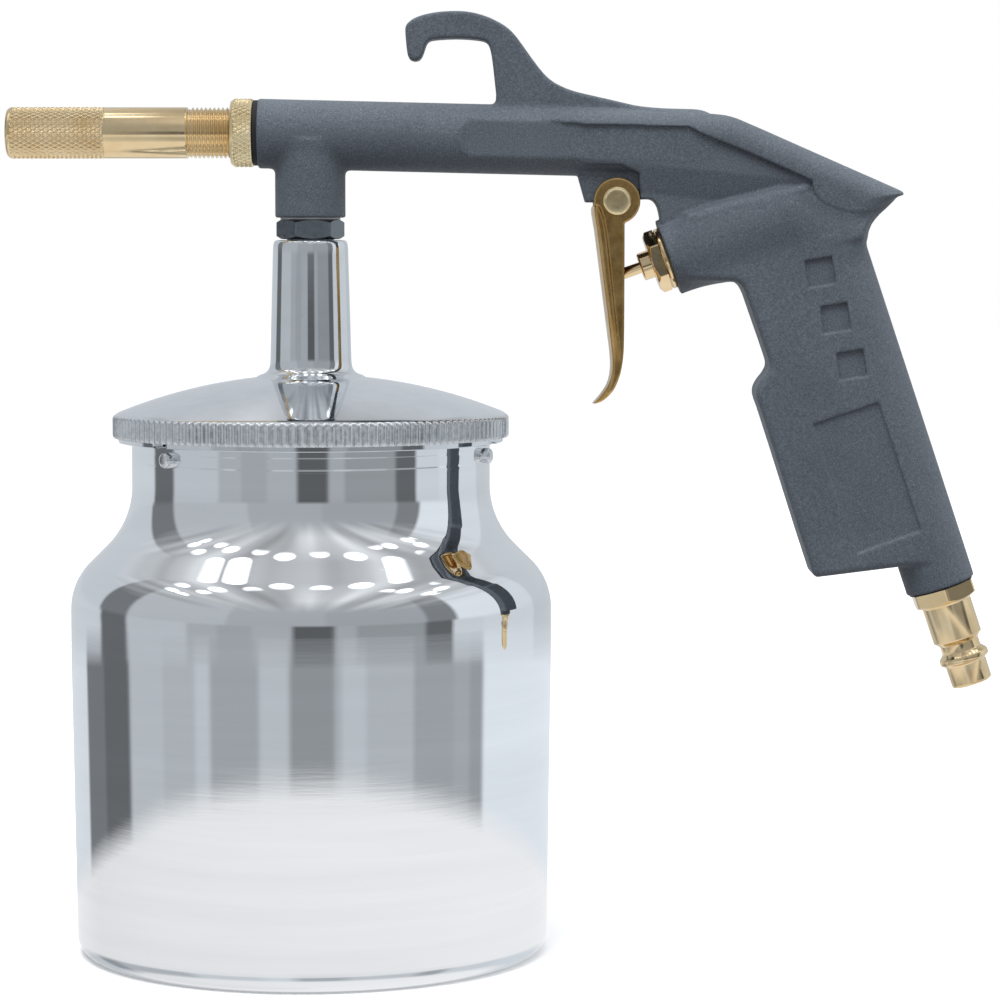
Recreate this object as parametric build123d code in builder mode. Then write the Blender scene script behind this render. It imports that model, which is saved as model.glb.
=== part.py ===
from build123d import *
import os
from math import sin, cos, radians, degrees, sqrt, atan2, pi

# Suction-feed abrasive air gun with a one-litre spun cup.
# Frame: origin on the cup's axis at the underside of the cup, +Z up along the
# cup's axis, the nozzle points to -X, the grip hangs at +X, and the XZ plane is
# the mid-plane of the gun. Millimetres.

os.makedirs("parts", exist_ok=True)

# ------------------------------------------------------------------ dimensions
# cup
CUP_R = 56.35            # outside radius of the cup's body
CUP_BASE_R = 55.35       # outside radius just above the bottom corner
CUP_CORNER = 4.1         # bottom corner radius
CUP_WALL = 1.1
NECK_R = 41.9            # outside radius of the neck
NECK_TOP = 121.8         # height of the cup's lip
SHOULDER_R1 = 15.0       # convex shoulder radius
SHOULDER_Z1 = 81.0
SHOULDER_R2 = 20.0       # concave radius into the neck
SHOULDER_Z2 = 109.9
STUD_R = 1.8
SHANK_R = 1.2
STUD_OUT = 44.2          # radius of the studs' outer ends
STUD_Z = 117.2
STUD_ANGLES = (223.5, 343.5, 103.5)

# lid with its stem
RIM_R = 46.35
RIM_Z0 = 121.05
RIM_Z1 = 126.5
LIP_R = 45.0             # plain inner flange below the knurled rim
LIP_Z0 = 119.9
SKIRT_IN = 42.3
SEAT_Z = 123.2           # underside of the lid on the gasket
DOME_R = 120.0           # spherical crown of the lid
DOME_C = 15.6            # height of the crown's centre
STEM_R0 = 9.5            # foot of the conical stem
STEM_R1 = 8.75           # top of the conical stem
STEM_Z1 = 167.0
STEM_BORE = 5.55

# suction line
TUBE_R = 5.5
TUBE_BORE = 4.2
TUBE_Z0 = 7.0
TUBE_Z1 = 155.0
NUT_AF = 18.0
NIPPLE_AF = 14.0
NIPPLE_Z0 = 167.2
NIPPLE_Z1 = 171.8
NIPPLE_TURN = 8.0
BOSS_R = 8.2             # suction boss under the barrel
BOSS_Z0 = 172.2

# barrel and nozzle
AXIS_Z = 191.9           # height of the nozzle and bore axis
BARREL_R = 8.08
BARREL_X0 = -12.1
DROOP = 1.36             # fall of the barrel's outside towards the grip, degrees
BARREL_CZ = 191.75       # height of the barrel's outside centre at its front face
FLAT_Y = 7.2             # half width across the barrel's side flats
NOZ_TIP = -70.56
NOZ_KNURL_END = -47.8
NOZ_THREAD = -28.47
NOZ_IN = -5.0
NOZ_R = 5.95
INSERT_R = 4.3
INSERT_BORE = 3.0
RING_R = 7.95
RING_X0 = -18.44
RING_X1 = -13.1
THREAD_BORE = 6.05

# trigger
PIV_X, PIV_Z = 71.45, 176.05
EAR_R = 5.4
PIN_R = 2.0
PIN_HEAD_R = 3.25
LUG_Y = 4.0
FLANGE_Y0, FLANGE_Y1 = 4.4, 5.8
PAD_Y = 6.5

# valve: V0 is the centre of the valve boss's face, its axis rises into the gun
VX, VZ = 83.57, 162.91
V_ANGLE = 19.8
VBOSS_R = 9.05
GLAND_AF = 13.0
STEM_ROD_R = 1.33
STEM_OUT = 14.35         # length of the rod outside the boss's face

# inlet: IX, IZ is the centre of the inlet boss's lower face
IX, IZ = 147.97, 86.03
I_ANGLE = 18.5           # lean of the grip's air channel from the vertical
INLET_R = 8.2
INLET_THREAD_R = 6.6

GRIP_Y = 8.3             # half thickness of the grip

va = radians(V_ANGLE)
ia = radians(I_ANGLE)


def vpos(w, off=0.0):
    """Point on the valve axis, w inwards from the boss face, off upwards."""
    return Vector(VX + w * cos(va) - off * sin(va), 0, VZ + w * sin(va) + off * cos(va))


def ipos(t):
    """Point on the inlet axis, t outwards from the inlet boss face."""
    return Vector(IX + t * sin(ia), 0, IZ - t * cos(ia))


def vplane(w):
    return Plane(origin=vpos(w), x_dir=(0, 1, 0), z_dir=(cos(va), 0, sin(va)))


def iplane(t):
    return Plane(origin=ipos(t), x_dir=(0, 1, 0), z_dir=(sin(ia), 0, -cos(ia)))


def xplane(x, z=AXIS_Z):
    return Plane(origin=(x, 0, z), x_dir=(0, 1, 0), z_dir=(1, 0, 0))


# ------------------------------------------------------------------------- cup
def shoulder(off):
    """End points and middles of the two shoulder arcs, moved inwards by off."""
    c1 = (CUP_R - SHOULDER_R1, SHOULDER_Z1)
    r1 = SHOULDER_R1 - off
    c2 = (NECK_R + SHOULDER_R2, SHOULDER_Z2)
    r2 = SHOULDER_R2 + off
    p = lambda c, r, a: (c[0] + r * cos(radians(a)), c[1] + r * sin(radians(a)))
    return [p(c1, r1, 0), p(c1, r1, 22.5), p(c1, r1, 45), p(c2, r2, 225), p(c2, r2, 202.5), p(c2, r2, 180)]


with BuildPart() as cup:
    with BuildSketch(Plane.XZ):
        with BuildLine():
            s = shoulder(0.0)
            Polyline((0, 0), (CUP_BASE_R - CUP_CORNER, 0))
            RadiusArc((CUP_BASE_R - CUP_CORNER, 0), (CUP_BASE_R, CUP_CORNER), -CUP_CORNER)
            Polyline((CUP_BASE_R, CUP_CORNER), (CUP_R, 70), s[0])
            ThreePointArc(s[0], s[1], s[2])
            Line(s[2], s[3])
            ThreePointArc(s[3], s[4], s[5])
            Polyline(s[5], (NECK_R, NECK_TOP), (0, NECK_TOP), (0, 0))
        make_face()
        with BuildLine():
            q = shoulder(CUP_WALL)
            ri = CUP_BASE_R - CUP_WALL
            ci = CUP_CORNER - CUP_WALL
            Polyline((0, CUP_WALL + 0.3), (ri - ci, CUP_WALL + 0.3))
            RadiusArc((ri - ci, CUP_WALL + 0.3), (ri, CUP_WALL + 0.3 + ci), -ci)
            Polyline((ri, CUP_WALL + 0.3 + ci), (CUP_R - CUP_WALL, 70), q[0])
            ThreePointArc(q[0], q[1], q[2])
            Line(q[2], q[3])
            ThreePointArc(q[3], q[4], q[5])
            Polyline(q[5], (NECK_R - CUP_WALL, NECK_TOP + 1), (0, NECK_TOP + 1), (0, CUP_WALL + 0.3))
        make_face(mode=Mode.SUBTRACT)
    revolve(axis=Axis.Z)
    # rivet holes of the studs
    for a in STUD_ANGLES:
        ca, sa = cos(radians(a)), sin(radians(a))
        with BuildSketch(Plane(origin=(38.0 * ca, 38.0 * sa, STUD_Z), x_dir=(0, 0, 1), z_dir=(ca, sa, 0))):
            Circle(SHANK_R + 0.02)
        extrude(amount=6.0, mode=Mode.SUBTRACT)
cup.part.label = "cup"
export_step(cup.part, "parts/cup.step")

# three riveted studs round the neck, one group of separate solids, each with a
# shank through the wall and a low rivet head inside
with BuildPart() as cup_studs:
    for a in STUD_ANGLES:
        ca, sa = cos(radians(a)), sin(radians(a))
        for r0, r1, rad in ((39.9, 40.72, 2.0), (40.3, NECK_R + 0.5, SHANK_R), (NECK_R + 0.02, STUD_OUT, STUD_R)):
            with BuildSketch(Plane(origin=(r0 * ca, r0 * sa, STUD_Z), x_dir=(0, 0, 1), z_dir=(ca, sa, 0))):
                Circle(rad)
            extrude(amount=r1 - r0)
cup_studs.part.label = "cup_studs"
export_step(cup_studs.part, "parts/cup_studs.step")

# ------------------------------------------------------------------ lid gasket
with BuildPart() as lid_gasket:
    with BuildSketch(Plane.XY.offset(NECK_TOP)):
        Circle(NECK_R - 0.1)
        Circle(39.6, mode=Mode.SUBTRACT)
    extrude(amount=SEAT_Z - NECK_TOP)
lid_gasket.part.label = "lid_gasket"
export_step(lid_gasket.part, "parts/lid_gasket.step")


# ------------------------------------------------------------------------- lid
def crown(r, rad=DOME_R):
    return DOME_C + sqrt(rad * rad - r * r)


with BuildPart() as lid:
    with BuildSketch(Plane.XZ):
        with BuildLine():
            Polyline((STEM_BORE, STEM_Z1), (STEM_R1 - 0.45, STEM_Z1), (STEM_R1, STEM_Z1 - 0.6),
                     (STEM_R0, 138.0), (STEM_R0 + 0.6, crown(11.0) + 0.9), (12.0, crown(12.0)))
            ThreePointArc((12.0, crown(12.0)), (30.0, crown(30.0)), (45.6, crown(45.6)))
            Polyline((45.6, crown(45.6)), (RIM_R, RIM_Z1 - 0.75), (RIM_R, RIM_Z0), (LIP_R, RIM_Z0),
                     (LIP_R, LIP_Z0), (SKIRT_IN, LIP_Z0), (SKIRT_IN, SEAT_Z), (38.6, SEAT_Z), (38.6, 126.4))
            ThreePointArc((38.6, 126.4), (25.0, crown(25.0, 118.0)), (12.5, crown(12.5, 118.0)))
            Polyline((12.5, crown(12.5, 118.0)), (12.5, 128.0), (STEM_BORE, 128.0), (STEM_BORE, STEM_Z1))
        make_face()
    revolve(axis=Axis.Z)
    # notches in the plain flange, one above each stud
    for a in STUD_ANGLES:
        ca, sa = cos(radians(a)), sin(radians(a))
        with BuildSketch(Plane(origin=(41.0 * ca, 41.0 * sa, LIP_Z0 - 0.5), x_dir=(ca, sa, 0), z_dir=(0, 0, 1))):
            with Locations((3.2, 0)):
                Rectangle(6.4, 4.6)
        extrude(amount=RIM_Z0 - LIP_Z0 + 0.3, mode=Mode.SUBTRACT)
    # vent hole through the crown, on the far side
    with BuildSketch(Plane(origin=(8.0, 30.0, 120.0), z_dir=(0, 0, 1))):
        Circle(0.9)
    extrude(amount=20, mode=Mode.SUBTRACT)
lid.part.label = "lid"
export_step(lid.part, "parts/lid.step")

# ---------------------------------------------------------------- suction line
with BuildPart() as siphon_tube:
    with BuildSketch(Plane.XY.offset(TUBE_Z0)):
        Circle(TUBE_R)
        Circle(TUBE_BORE, mode=Mode.SUBTRACT)
    extrude(amount=TUBE_Z1 - TUBE_Z0)
    # bevelled pick-up end
    with BuildSketch(Plane.XZ):
        with BuildLine():
            Polyline((-8, TUBE_Z0 - 1), (8, TUBE_Z0 - 1), (8, TUBE_Z0 + 6.5), (-8, TUBE_Z0 - 1))
        make_face()
    extrude(amount=8, both=True, mode=Mode.SUBTRACT)
siphon_tube.part.label = "siphon_tube"
export_step(siphon_tube.part, "parts/siphon_tube.step")

with BuildPart() as tube_nut:
    with BuildSketch(Plane.XY.offset(122.0)):
        RegularPolygon(NUT_AF / 2, 6, major_radius=False)
        Circle(TUBE_R + 0.05, mode=Mode.SUBTRACT)
    extrude(amount=6.0)
tube_nut.part.label = "tube_nut"
export_step(tube_nut.part, "parts/tube_nut.step")

with BuildPart() as siphon_nipple:
    with BuildSketch(Plane.XY.offset(TUBE_Z1 + 0.5)):
        Circle(STEM_BORE - 0.05)
    extrude(amount=181.0 - TUBE_Z1 - 0.5)
    with BuildSketch(Plane.XY.offset(NIPPLE_Z0)):
        RegularPolygon(NIPPLE_AF / 2, 6, major_radius=False, rotation=NIPPLE_TURN)
    extrude(amount=NIPPLE_Z1 - NIPPLE_Z0)
    # chamfers of the hexagon
    with BuildSketch(Plane.XZ):
        with BuildLine():
            Polyline((7.2, NIPPLE_Z0), (9.5, NIPPLE_Z0), (9.5, NIPPLE_Z0 + 1.1), (8.2, NIPPLE_Z0 + 0.6), (7.2, NIPPLE_Z0))
        make_face()
        with BuildLine():
            Polyline((7.2, NIPPLE_Z1), (9.5, NIPPLE_Z1), (9.5, NIPPLE_Z1 - 1.1), (8.2, NIPPLE_Z1 - 0.6), (7.2, NIPPLE_Z1))
        make_face()
    revolve(axis=Axis.Z, mode=Mode.SUBTRACT)
    with BuildSketch(Plane.XY.offset(TUBE_Z1)):
        Circle(3.6)
    extrude(amount=30, mode=Mode.SUBTRACT)
siphon_nipple.part.label = "siphon_nipple"
export_step(siphon_nipple.part, "parts/siphon_nipple.step")

with BuildPart() as boss_washer:
    with BuildSketch(Plane.XY.offset(NIPPLE_Z1)):
        Circle(7.0)
        Circle(STEM_BORE, mode=Mode.SUBTRACT)
    extrude(amount=BOSS_Z0 - NIPPLE_Z1)
boss_washer.part.label = "boss_washer"
export_step(boss_washer.part, "parts/boss_washer.step")

# ------------------------------------------------------------- die-cast gun body
HOOK = [(22.3, 215.8), (22.6, 217.0), (23.75, 218.0), (26.05, 219.0), (29.7, 219.8), (33.9, 220.0), (37.1, 219.8),
        (40.3, 219.0), (43.1, 217.9), (45.8, 216.3), (47.7, 214.5), (49.5, 212.0), (51.8, 208.8), (54.1, 205.8),
        (56.0, 204.0), (58.3, 202.6), (61.5, 201.4), (66.6, 200.3), (71.7, 199.1), (76.2, 198.0), (80.0, 197.2),
        (84.0, 196.3), (84.0, 192.0), (42.0, 192.0), (43.4, 199.8), (43.1, 203.0), (42.4, 209.0), (41.9, 211.8),
        (41.2, 212.8), (40.0, 213.3), (38.0, 213.6), (33.9, 213.8), (29.5, 213.45), (27.9, 213.3), (27.2, 212.6),
        (26.3, 209.8), (25.7, 208.9), (24.4, 208.6), (23.2, 209.1), (22.75, 210.0)]
WEB = [(60.0, 197.0), (82.7, 196.6), (95.0, 196.0), (100.2, 194.8), (119.2, 186.4), (137.7, 178.5), (138.2, 177.6),
       (132.1, 172.6), (129.8, 167.2), (122.0, 160.0), (98.0, 162.0), (86.0, 166.0), (81.6, 172.4), (80.9, 174.8),
       (80.0, 176.0), (78.7, 176.5), (76.9, 176.4), (76.4, 184.5), (60.0, 184.5)]
BAND = [(86.0, 196.5), (95.0, 196.0), (100.2, 194.8), (137.7, 178.5), (138.2, 177.6), (133.2, 175.5), (129.8, 173.8),
        (127.5, 173.2), (123.6, 173.8), (119.7, 175.3), (116.9, 177.1), (116.4, 180.7), (100.3, 187.8), (90.9, 191.3),
        (87.8, 193.2)]
GRIP = [(88.0, 156.0), (95.9, 157.4), (98.0, 157.6), (100.1, 156.4), (101.8, 152.85), (106.4, 140.4), (107.0, 138.1),
        (106.0, 136.0), (104.3, 133.9), (103.7, 132.0), (103.9, 130.35), (105.2, 127.0), (117.6, 88.5),
        (137.3, 90.9), (140.5, 91.6), (ipos(-6).X, ipos(-6).Z), (ipos(-86).X, ipos(-86).Z), (124.0, 172.6),
        (110.0, 174.0), (98.0, 169.0)]


def grid_square(cx, cz, half, lean):
    a = radians(lean)
    pts = []
    for u, v in ((-1, -1), (1, -1), (1, 1), (-1, 1)):
        x, z = u * half, v * half
        pts.append((cx + x * cos(a) - z * sin(a), cz + x * sin(a) + z * cos(a)))
    return pts + [pts[0]]


SQUARES = [(118.45, 159.55), (122.1, 148.9), (125.9, 138.1)]
LABEL = [(117.14, 124.27), (132.18, 129.31), (142.29, 99.48), (127.64, 94.2)]

dr = radians(DROOP)
with BuildPart() as body_casting:
    # barrel, outside falling a little towards the grip
    with BuildSketch(Plane(origin=(BARREL_X0 - 2.0, 0, BARREL_CZ + 2.0 * sin(dr)), x_dir=(0, 1, 0), z_dir=(cos(dr), 0, -sin(dr)))):
        Circle(BARREL_R)
    extrude(amount=104.0)
    # side flats from the middle of the barrel backwards
    with BuildSketch(Plane.XZ):
        with BuildLine():
            Polyline((34.0, 190.8), (38.0, 200.5), (100.0, 200.5), (100.0, 178.0), (38.0, 178.0), (34.0, 190.8))
        make_face()
    extrude(amount=20, both=True, mode=Mode.SUBTRACT)
    with BuildSketch(Plane(origin=(BARREL_X0 + 40.0, 0, BARREL_CZ - 40.0 * sin(dr)), x_dir=(0, 1, 0), z_dir=(cos(dr), 0, -sin(dr)))):
        Circle(BARREL_R)
        Rectangle(2 * FLAT_Y, 40, mode=Mode.INTERSECT)
    extrude(amount=66.0)
    # front face square to the bore
    with BuildSketch(xplane(BARREL_X0)):
        Rectangle(40, 40)
    extrude(amount=-10, mode=Mode.SUBTRACT)
    # web, roof band with its spur, grip, hook and trigger lug
    for outline, half in ((WEB, 7.0), (BAND, 8.2), (GRIP, GRIP_Y), (HOOK, 4.0)):
        with BuildSketch(Plane.XZ):
            with BuildLine():
                Polyline(*outline, outline[0])
            make_face()
        extrude(amount=half, both=True)
    with BuildSketch(Plane.XZ):
        with BuildLine():
            Polyline((61.54, 184.5), (64.14, 175.75), (67.0, 175.75), (71.45, 172.0), (75.5, 176.0), (76.8, 184.5), (61.54, 184.5))
        make_face()
        with Locations((PIV_X, PIV_Z)):
            Circle(4.6)
    extrude(amount=LUG_Y, both=True)
    # suction boss
    with BuildSketch(Plane.XY.offset(BOSS_Z0)):
        Circle(BOSS_R)
    extrude(amount=AXIS_Z - BOSS_Z0 - 1.0)
    # valve boss
    with BuildSketch(vplane(0.0)):
        Circle(VBOSS_R)
    extrude(amount=34.0)
    # round back of the grip and inlet boss in one cylinder
    with BuildSketch(iplane(0.0)):
        Circle(INLET_R)
    extrude(amount=-84.0)
    # barrel bores: nozzle thread, mixing chamber, jet seat, air channel
    with BuildSketch(xplane(BARREL_X0 - 1.0)):
        Circle(THREAD_BORE)
    extrude(amount=12.1, mode=Mode.SUBTRACT)
    with BuildSketch(xplane(-2.0)):
        Circle(4.8)
    extrude(amount=12.0, mode=Mode.SUBTRACT)
    with BuildSketch(xplane(9.0)):
        Circle(4.05)
    extrude(amount=17.0, mode=Mode.SUBTRACT)
    with BuildSketch(xplane(25.0)):
        Circle(2.0)
    extrude(amount=74.0, mode=Mode.SUBTRACT)
    # suction port
    with BuildSketch(Plane.XY.offset(BOSS_Z0 - 1.0)):
        Circle(STEM_BORE)
    extrude(amount=10.0, mode=Mode.SUBTRACT)
    with BuildSketch(Plane.XY.offset(181.0)):
        Circle(4.0)
    extrude(amount=AXIS_Z - 181.0, mode=Mode.SUBTRACT)
    # passage between the barrel's channel and the valve
    with BuildSketch(Plane(origin=(97.3, 0, AXIS_Z), x_dir=(1, 0, 0), z_dir=(0, 0, -1))):
        Circle(1.9)
    extrude(amount=AXIS_Z - 168.5, mode=Mode.SUBTRACT)
    # valve bores, each smaller than the one before it
    for w0, w1, r in ((-1.0, 12.0, 5.05), (11.0, 20.0, 4.55), (19.0, 33.0, 4.2), (32.0, 37.5, 2.0)):
        with BuildSketch(vplane(w0)):
            Circle(r)
        extrude(amount=w1 - w0, mode=Mode.SUBTRACT)
    # inlet thread and air channel up the grip
    with BuildSketch(iplane(1.0)):
        Circle(INLET_THREAD_R)
    extrude(amount=-13.0, mode=Mode.SUBTRACT)
    with BuildSketch(iplane(-11.0)):
        Circle(3.4)
    extrude(amount=-81.0, mode=Mode.SUBTRACT)
    # pivot hole
    with BuildSketch(Plane.XZ):
        with Locations((PIV_X, PIV_Z)):
            Circle(PIN_R + 0.05)
    extrude(amount=12, both=True, mode=Mode.SUBTRACT)
    # shallow recesses in both sides of the grip: three squares and a label field
    for side in (1, -1):
        for cx, cz in SQUARES:
            with BuildSketch(Plane.XZ.offset(side * (GRIP_Y - 0.5))):
                with BuildLine():
                    Polyline(*grid_square(cx, cz, 3.0, 9.0))
                make_face()
            extrude(amount=side * 3.0, mode=Mode.SUBTRACT)
        with BuildSketch(Plane.XZ.offset(side * (GRIP_Y - 0.5))):
            with BuildLine():
                Polyline(*LABEL, LABEL[0])
            make_face()
        extrude(amount=side * 3.0, mode=Mode.SUBTRACT)
body_casting.part.label = "body_casting"
export_step(body_casting.part, "parts/body_casting.step")

# -------------------------------------------------------------------- air jet
with BuildPart() as air_jet:
    with BuildSketch(Plane(origin=(0, 0, AXIS_Z), x_dir=(1, 0, 0), z_dir=(0, -1, 0))):
        with BuildLine():
            Polyline((2.0, 1.25), (2.0, 1.8), (9.6, 3.3), (9.6, 4.0), (14.0, 4.0), (14.0, 3.1), (15.8, 3.1), (15.8, 4.0),
                     (25.9, 4.0), (25.9, 2.2), (12.0, 2.2), (8.0, 1.25), (2.0, 1.25))
        make_face()
    revolve(axis=Axis((0, 0, AXIS_Z), (1, 0, 0)))
air_jet.part.label = "air_jet"
export_step(air_jet.part, "parts/air_jet.step")

with BuildPart() as jet_seal:
    with BuildSketch(xplane(14.1)):
        Circle(4.0)
        Circle(3.15, mode=Mode.SUBTRACT)
    extrude(amount=1.6)
jet_seal.part.label = "jet_seal"
export_step(jet_seal.part, "parts/jet_seal.step")

# --------------------------------------------------------------------- nozzle
with BuildPart() as nozzle_insert:
    with BuildSketch(Plane(origin=(0, 0, AXIS_Z), x_dir=(1, 0, 0), z_dir=(0, -1, 0))):
        with BuildLine():
            Polyline((-68.4, INSERT_BORE), (-68.4, INSERT_R), (-5.2, INSERT_R), (-5.2, 4.0), (-8.5, INSERT_BORE),
                     (-68.4, INSERT_BORE))
        make_face()
    revolve(axis=Axis((0, 0, AXIS_Z), (1, 0, 0)))
nozzle_insert.part.label = "nozzle_insert"
export_step(nozzle_insert.part, "parts/nozzle_insert.step")

with BuildPart() as nozzle_tube:
    with BuildSketch(Plane(origin=(0, 0, AXIS_Z), x_dir=(1, 0, 0), z_dir=(0, -1, 0))):
        with BuildLine():
            Polyline((NOZ_TIP, 3.2), (NOZ_TIP, NOZ_R - 0.8), (NOZ_TIP + 0.5, NOZ_R - 0.2), (NOZ_TIP + 1.3, NOZ_R + 0.05),
                     (NOZ_KNURL_END, NOZ_R + 0.05), (NOZ_KNURL_END, NOZ_R), (NOZ_THREAD, NOZ_R),
                     (NOZ_THREAD, NOZ_R - 0.03), (NOZ_IN - 0.5, NOZ_R - 0.03), (NOZ_IN, NOZ_R - 0.5), (NOZ_IN, INSERT_R + 0.05),
                     (-68.5, INSERT_R + 0.05), (-68.5, 3.2), (NOZ_TIP, 3.2))
        make_face()
    revolve(axis=Axis((0, 0, AXIS_Z), (1, 0, 0)))
nozzle_tube.part.label = "nozzle_tube"
export_step(nozzle_tube.part, "parts/nozzle_tube.step")

with BuildPart() as ring_washer:
    with BuildSketch(xplane(RING_X1)):
        Circle(7.6)
        Circle(6.0, mode=Mode.SUBTRACT)
    extrude(amount=BARREL_X0 - RING_X1)
ring_washer.part.label = "ring_washer"
export_step(ring_washer.part, "parts/ring_washer.step")

with BuildPart() as lock_ring:
    with BuildSketch(Plane(origin=(0, 0, AXIS_Z), x_dir=(1, 0, 0), z_dir=(0, -1, 0))):
        with BuildLine():
            Polyline((RING_X0, 6.0), (RING_X0, 7.1), (RING_X0 + 0.35, 7.6), (RING_X0 + 0.95, RING_R), (RING_X1 - 0.35, RING_R),
                     (RING_X1, RING_R - 0.35), (RING_X1, 6.0), (RING_X0, 6.0))
        make_face()
    revolve(axis=Axis((0, 0, AXIS_Z), (1, 0, 0)))
lock_ring.part.label = "lock_ring"
export_step(lock_ring.part, "parts/lock_ring.step")

# -------------------------------------------------------------------- trigger
PAD_FRONT = [(65.4, 174.7), (66.23, 169.5), (67.3, 161.2), (68.37, 152.85), (69.42, 144.5), (69.97, 140.3),
             (70.07, 136.5), (69.44, 133.6), (67.57, 130.7), (65.69, 128.72)]
PAD_BACK = [(65.95, 128.72), (67.6, 129.2), (70.0, 131.9), (71.0, 134.0), (71.6, 137.0), (71.4, 140.5), (70.89, 144.5),
            (70.46, 148.67), (69.27, 159.55), (68.12, 170.35), (66.64, 174.7)]
FLANGE = [(66.3, 174.7), (66.9, 170.0), (68.0, 161.2), (69.1, 152.85), (70.1, 144.5), (70.7, 140.3), (70.8, 136.5),
          (70.2, 133.6), (69.5, 131.9), (69.9, 131.3), (70.92, 132.37), (72.37, 135.72), (72.99, 139.47), (73.19, 143.24),
          (73.22, 162.35), (73.21, 171.09), (71.45, 176.05)]
with BuildPart() as trigger:
    with BuildSketch(Plane.XZ):
        with BuildLine():
            Polyline(*PAD_FRONT, *PAD_BACK, PAD_FRONT[0])
        make_face()
    extrude(amount=PAD_Y, both=True)
    for side in (1, -1):
        with BuildSketch(Plane.XZ.offset(side * FLANGE_Y0)):
            with BuildLine():
                Polyline(*FLANGE, FLANGE[0])
            make_face()
            with Locations((PIV_X, PIV_Z)):
                Circle(EAR_R)
        extrude(amount=side * (FLANGE_Y1 - FLANGE_Y0))
    with BuildSketch(Plane.XZ):
        with Locations((PIV_X, PIV_Z)):
            Circle(PIN_R + 0.05)
    extrude(amount=12, both=True, mode=Mode.SUBTRACT)
trigger.part.label = "trigger"
export_step(trigger.part, "parts/trigger.step")

with BuildPart() as pivot_pin:
    with BuildSketch(Plane.XZ.offset(-6.9)):
        with Locations((PIV_X, PIV_Z)):
            Circle(PIN_R)
    extrude(amount=6.9 + 6.0)
    with BuildSketch(Plane.XZ.offset(5.9)):
        with Locations((PIV_X, PIV_Z)):
            Circle(PIN_HEAD_R)
    extrude(amount=0.8)
    with BuildSketch(Plane.XZ.offset(-6.55)):
        with Locations((PIV_X, PIV_Z)):
            Circle(PIN_R + 1)
            Circle(1.55, mode=Mode.SUBTRACT)
    extrude(amount=0.6, mode=Mode.SUBTRACT)
pivot_pin.part.label = "pivot_pin"
export_step(pivot_pin.part, "parts/pivot_pin.step")

with BuildPart() as pin_clip:
    with BuildSketch(Plane.XZ.offset(-6.5)):
        with Locations((PIV_X, PIV_Z)):
            Circle(3.6)
            Circle(1.6, mode=Mode.SUBTRACT)
        with Locations((PIV_X, PIV_Z - 3.0)):
            Rectangle(2.4, 4.0, mode=Mode.SUBTRACT)
    extrude(amount=0.5)
pin_clip.part.label = "pin_clip"
export_step(pin_clip.part, "parts/pin_clip.step")

# ---------------------------------------------------------------------- valve
with BuildPart() as gland_washer:
    with BuildSketch(vplane(-1.4)):
        Circle(7.3)
        Circle(5.05, mode=Mode.SUBTRACT)
    extrude(amount=1.4)
gland_washer.part.label = "gland_washer"
export_step(gland_washer.part, "parts/gland_washer.step")

with BuildPart() as valve_gland:
    with BuildSketch(vplane(-4.15)):
        RegularPolygon(GLAND_AF / 2, 6, major_radius=False, rotation=30)
    extrude(amount=2.75)
    with BuildSketch(Plane(origin=vpos(-4.15), x_dir=(cos(va), 0, sin(va)), z_dir=(0, -1, 0))):
        with BuildLine():
            Polyline((0, 6.6), (0, 9.0), (1.4, 9.0), (0.55, 7.55), (0, 6.6))
        make_face()
    revolve(axis=Axis(tuple(vpos(0)), (cos(va), 0, sin(va))), mode=Mode.SUBTRACT)
    with BuildSketch(vplane(-6.85)):
        Circle(3.3)
    extrude(amount=2.8)
    with BuildSketch(vplane(-1.5)):
        Circle(5.0)
    extrude(amount=10.5)
    with BuildSketch(vplane(-7.5)):
        Circle(STEM_ROD_R + 0.05)
    extrude(amount=20, mode=Mode.SUBTRACT)
valve_gland.part.label = "valve_gland"
export_step(valve_gland.part, "parts/valve_gland.step")

with BuildPart() as valve_packing:
    with BuildSketch(vplane(9.1)):
        Circle(5.0)
        Circle(STEM_ROD_R + 0.05, mode=Mode.SUBTRACT)
    extrude(amount=2.8)
valve_packing.part.label = "valve_packing"
export_step(valve_packing.part, "parts/valve_packing.step")

with BuildPart() as valve_seat:
    with BuildSketch(vplane(17.0)):
        Circle(4.5)
        Circle(2.4, mode=Mode.SUBTRACT)
    extrude(amount=3.0)
valve_seat.part.label = "valve_seat"
export_step(valve_seat.part, "parts/valve_seat.step")

with BuildPart() as valve_stem:
    with BuildSketch(Plane(origin=vpos(0), x_dir=(cos(va), 0, sin(va)), z_dir=(0, -1, 0))):
        with BuildLine():
            Polyline((-STEM_OUT, 0), (-STEM_OUT, 0.5), (-STEM_OUT + 0.25, 1.05), (-STEM_OUT + 0.7, STEM_ROD_R), (20.8, STEM_ROD_R),
                     (20.8, 3.4), (23.0, 3.4), (23.0, 1.6), (24.5, 1.6), (24.5, 0), (-STEM_OUT, 0))
        make_face()
    revolve(axis=Axis(tuple(vpos(0)), (cos(va), 0, sin(va))))
valve_stem.part.label = "valve_stem"
export_step(valve_stem.part, "parts/valve_stem.step")

with BuildPart() as poppet_seal:
    with BuildSketch(vplane(20.0)):
        Circle(3.4)
        Circle(STEM_ROD_R, mode=Mode.SUBTRACT)
    extrude(amount=0.8)
poppet_seal.part.label = "poppet_seal"
export_step(poppet_seal.part, "parts/poppet_seal.step")

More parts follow.
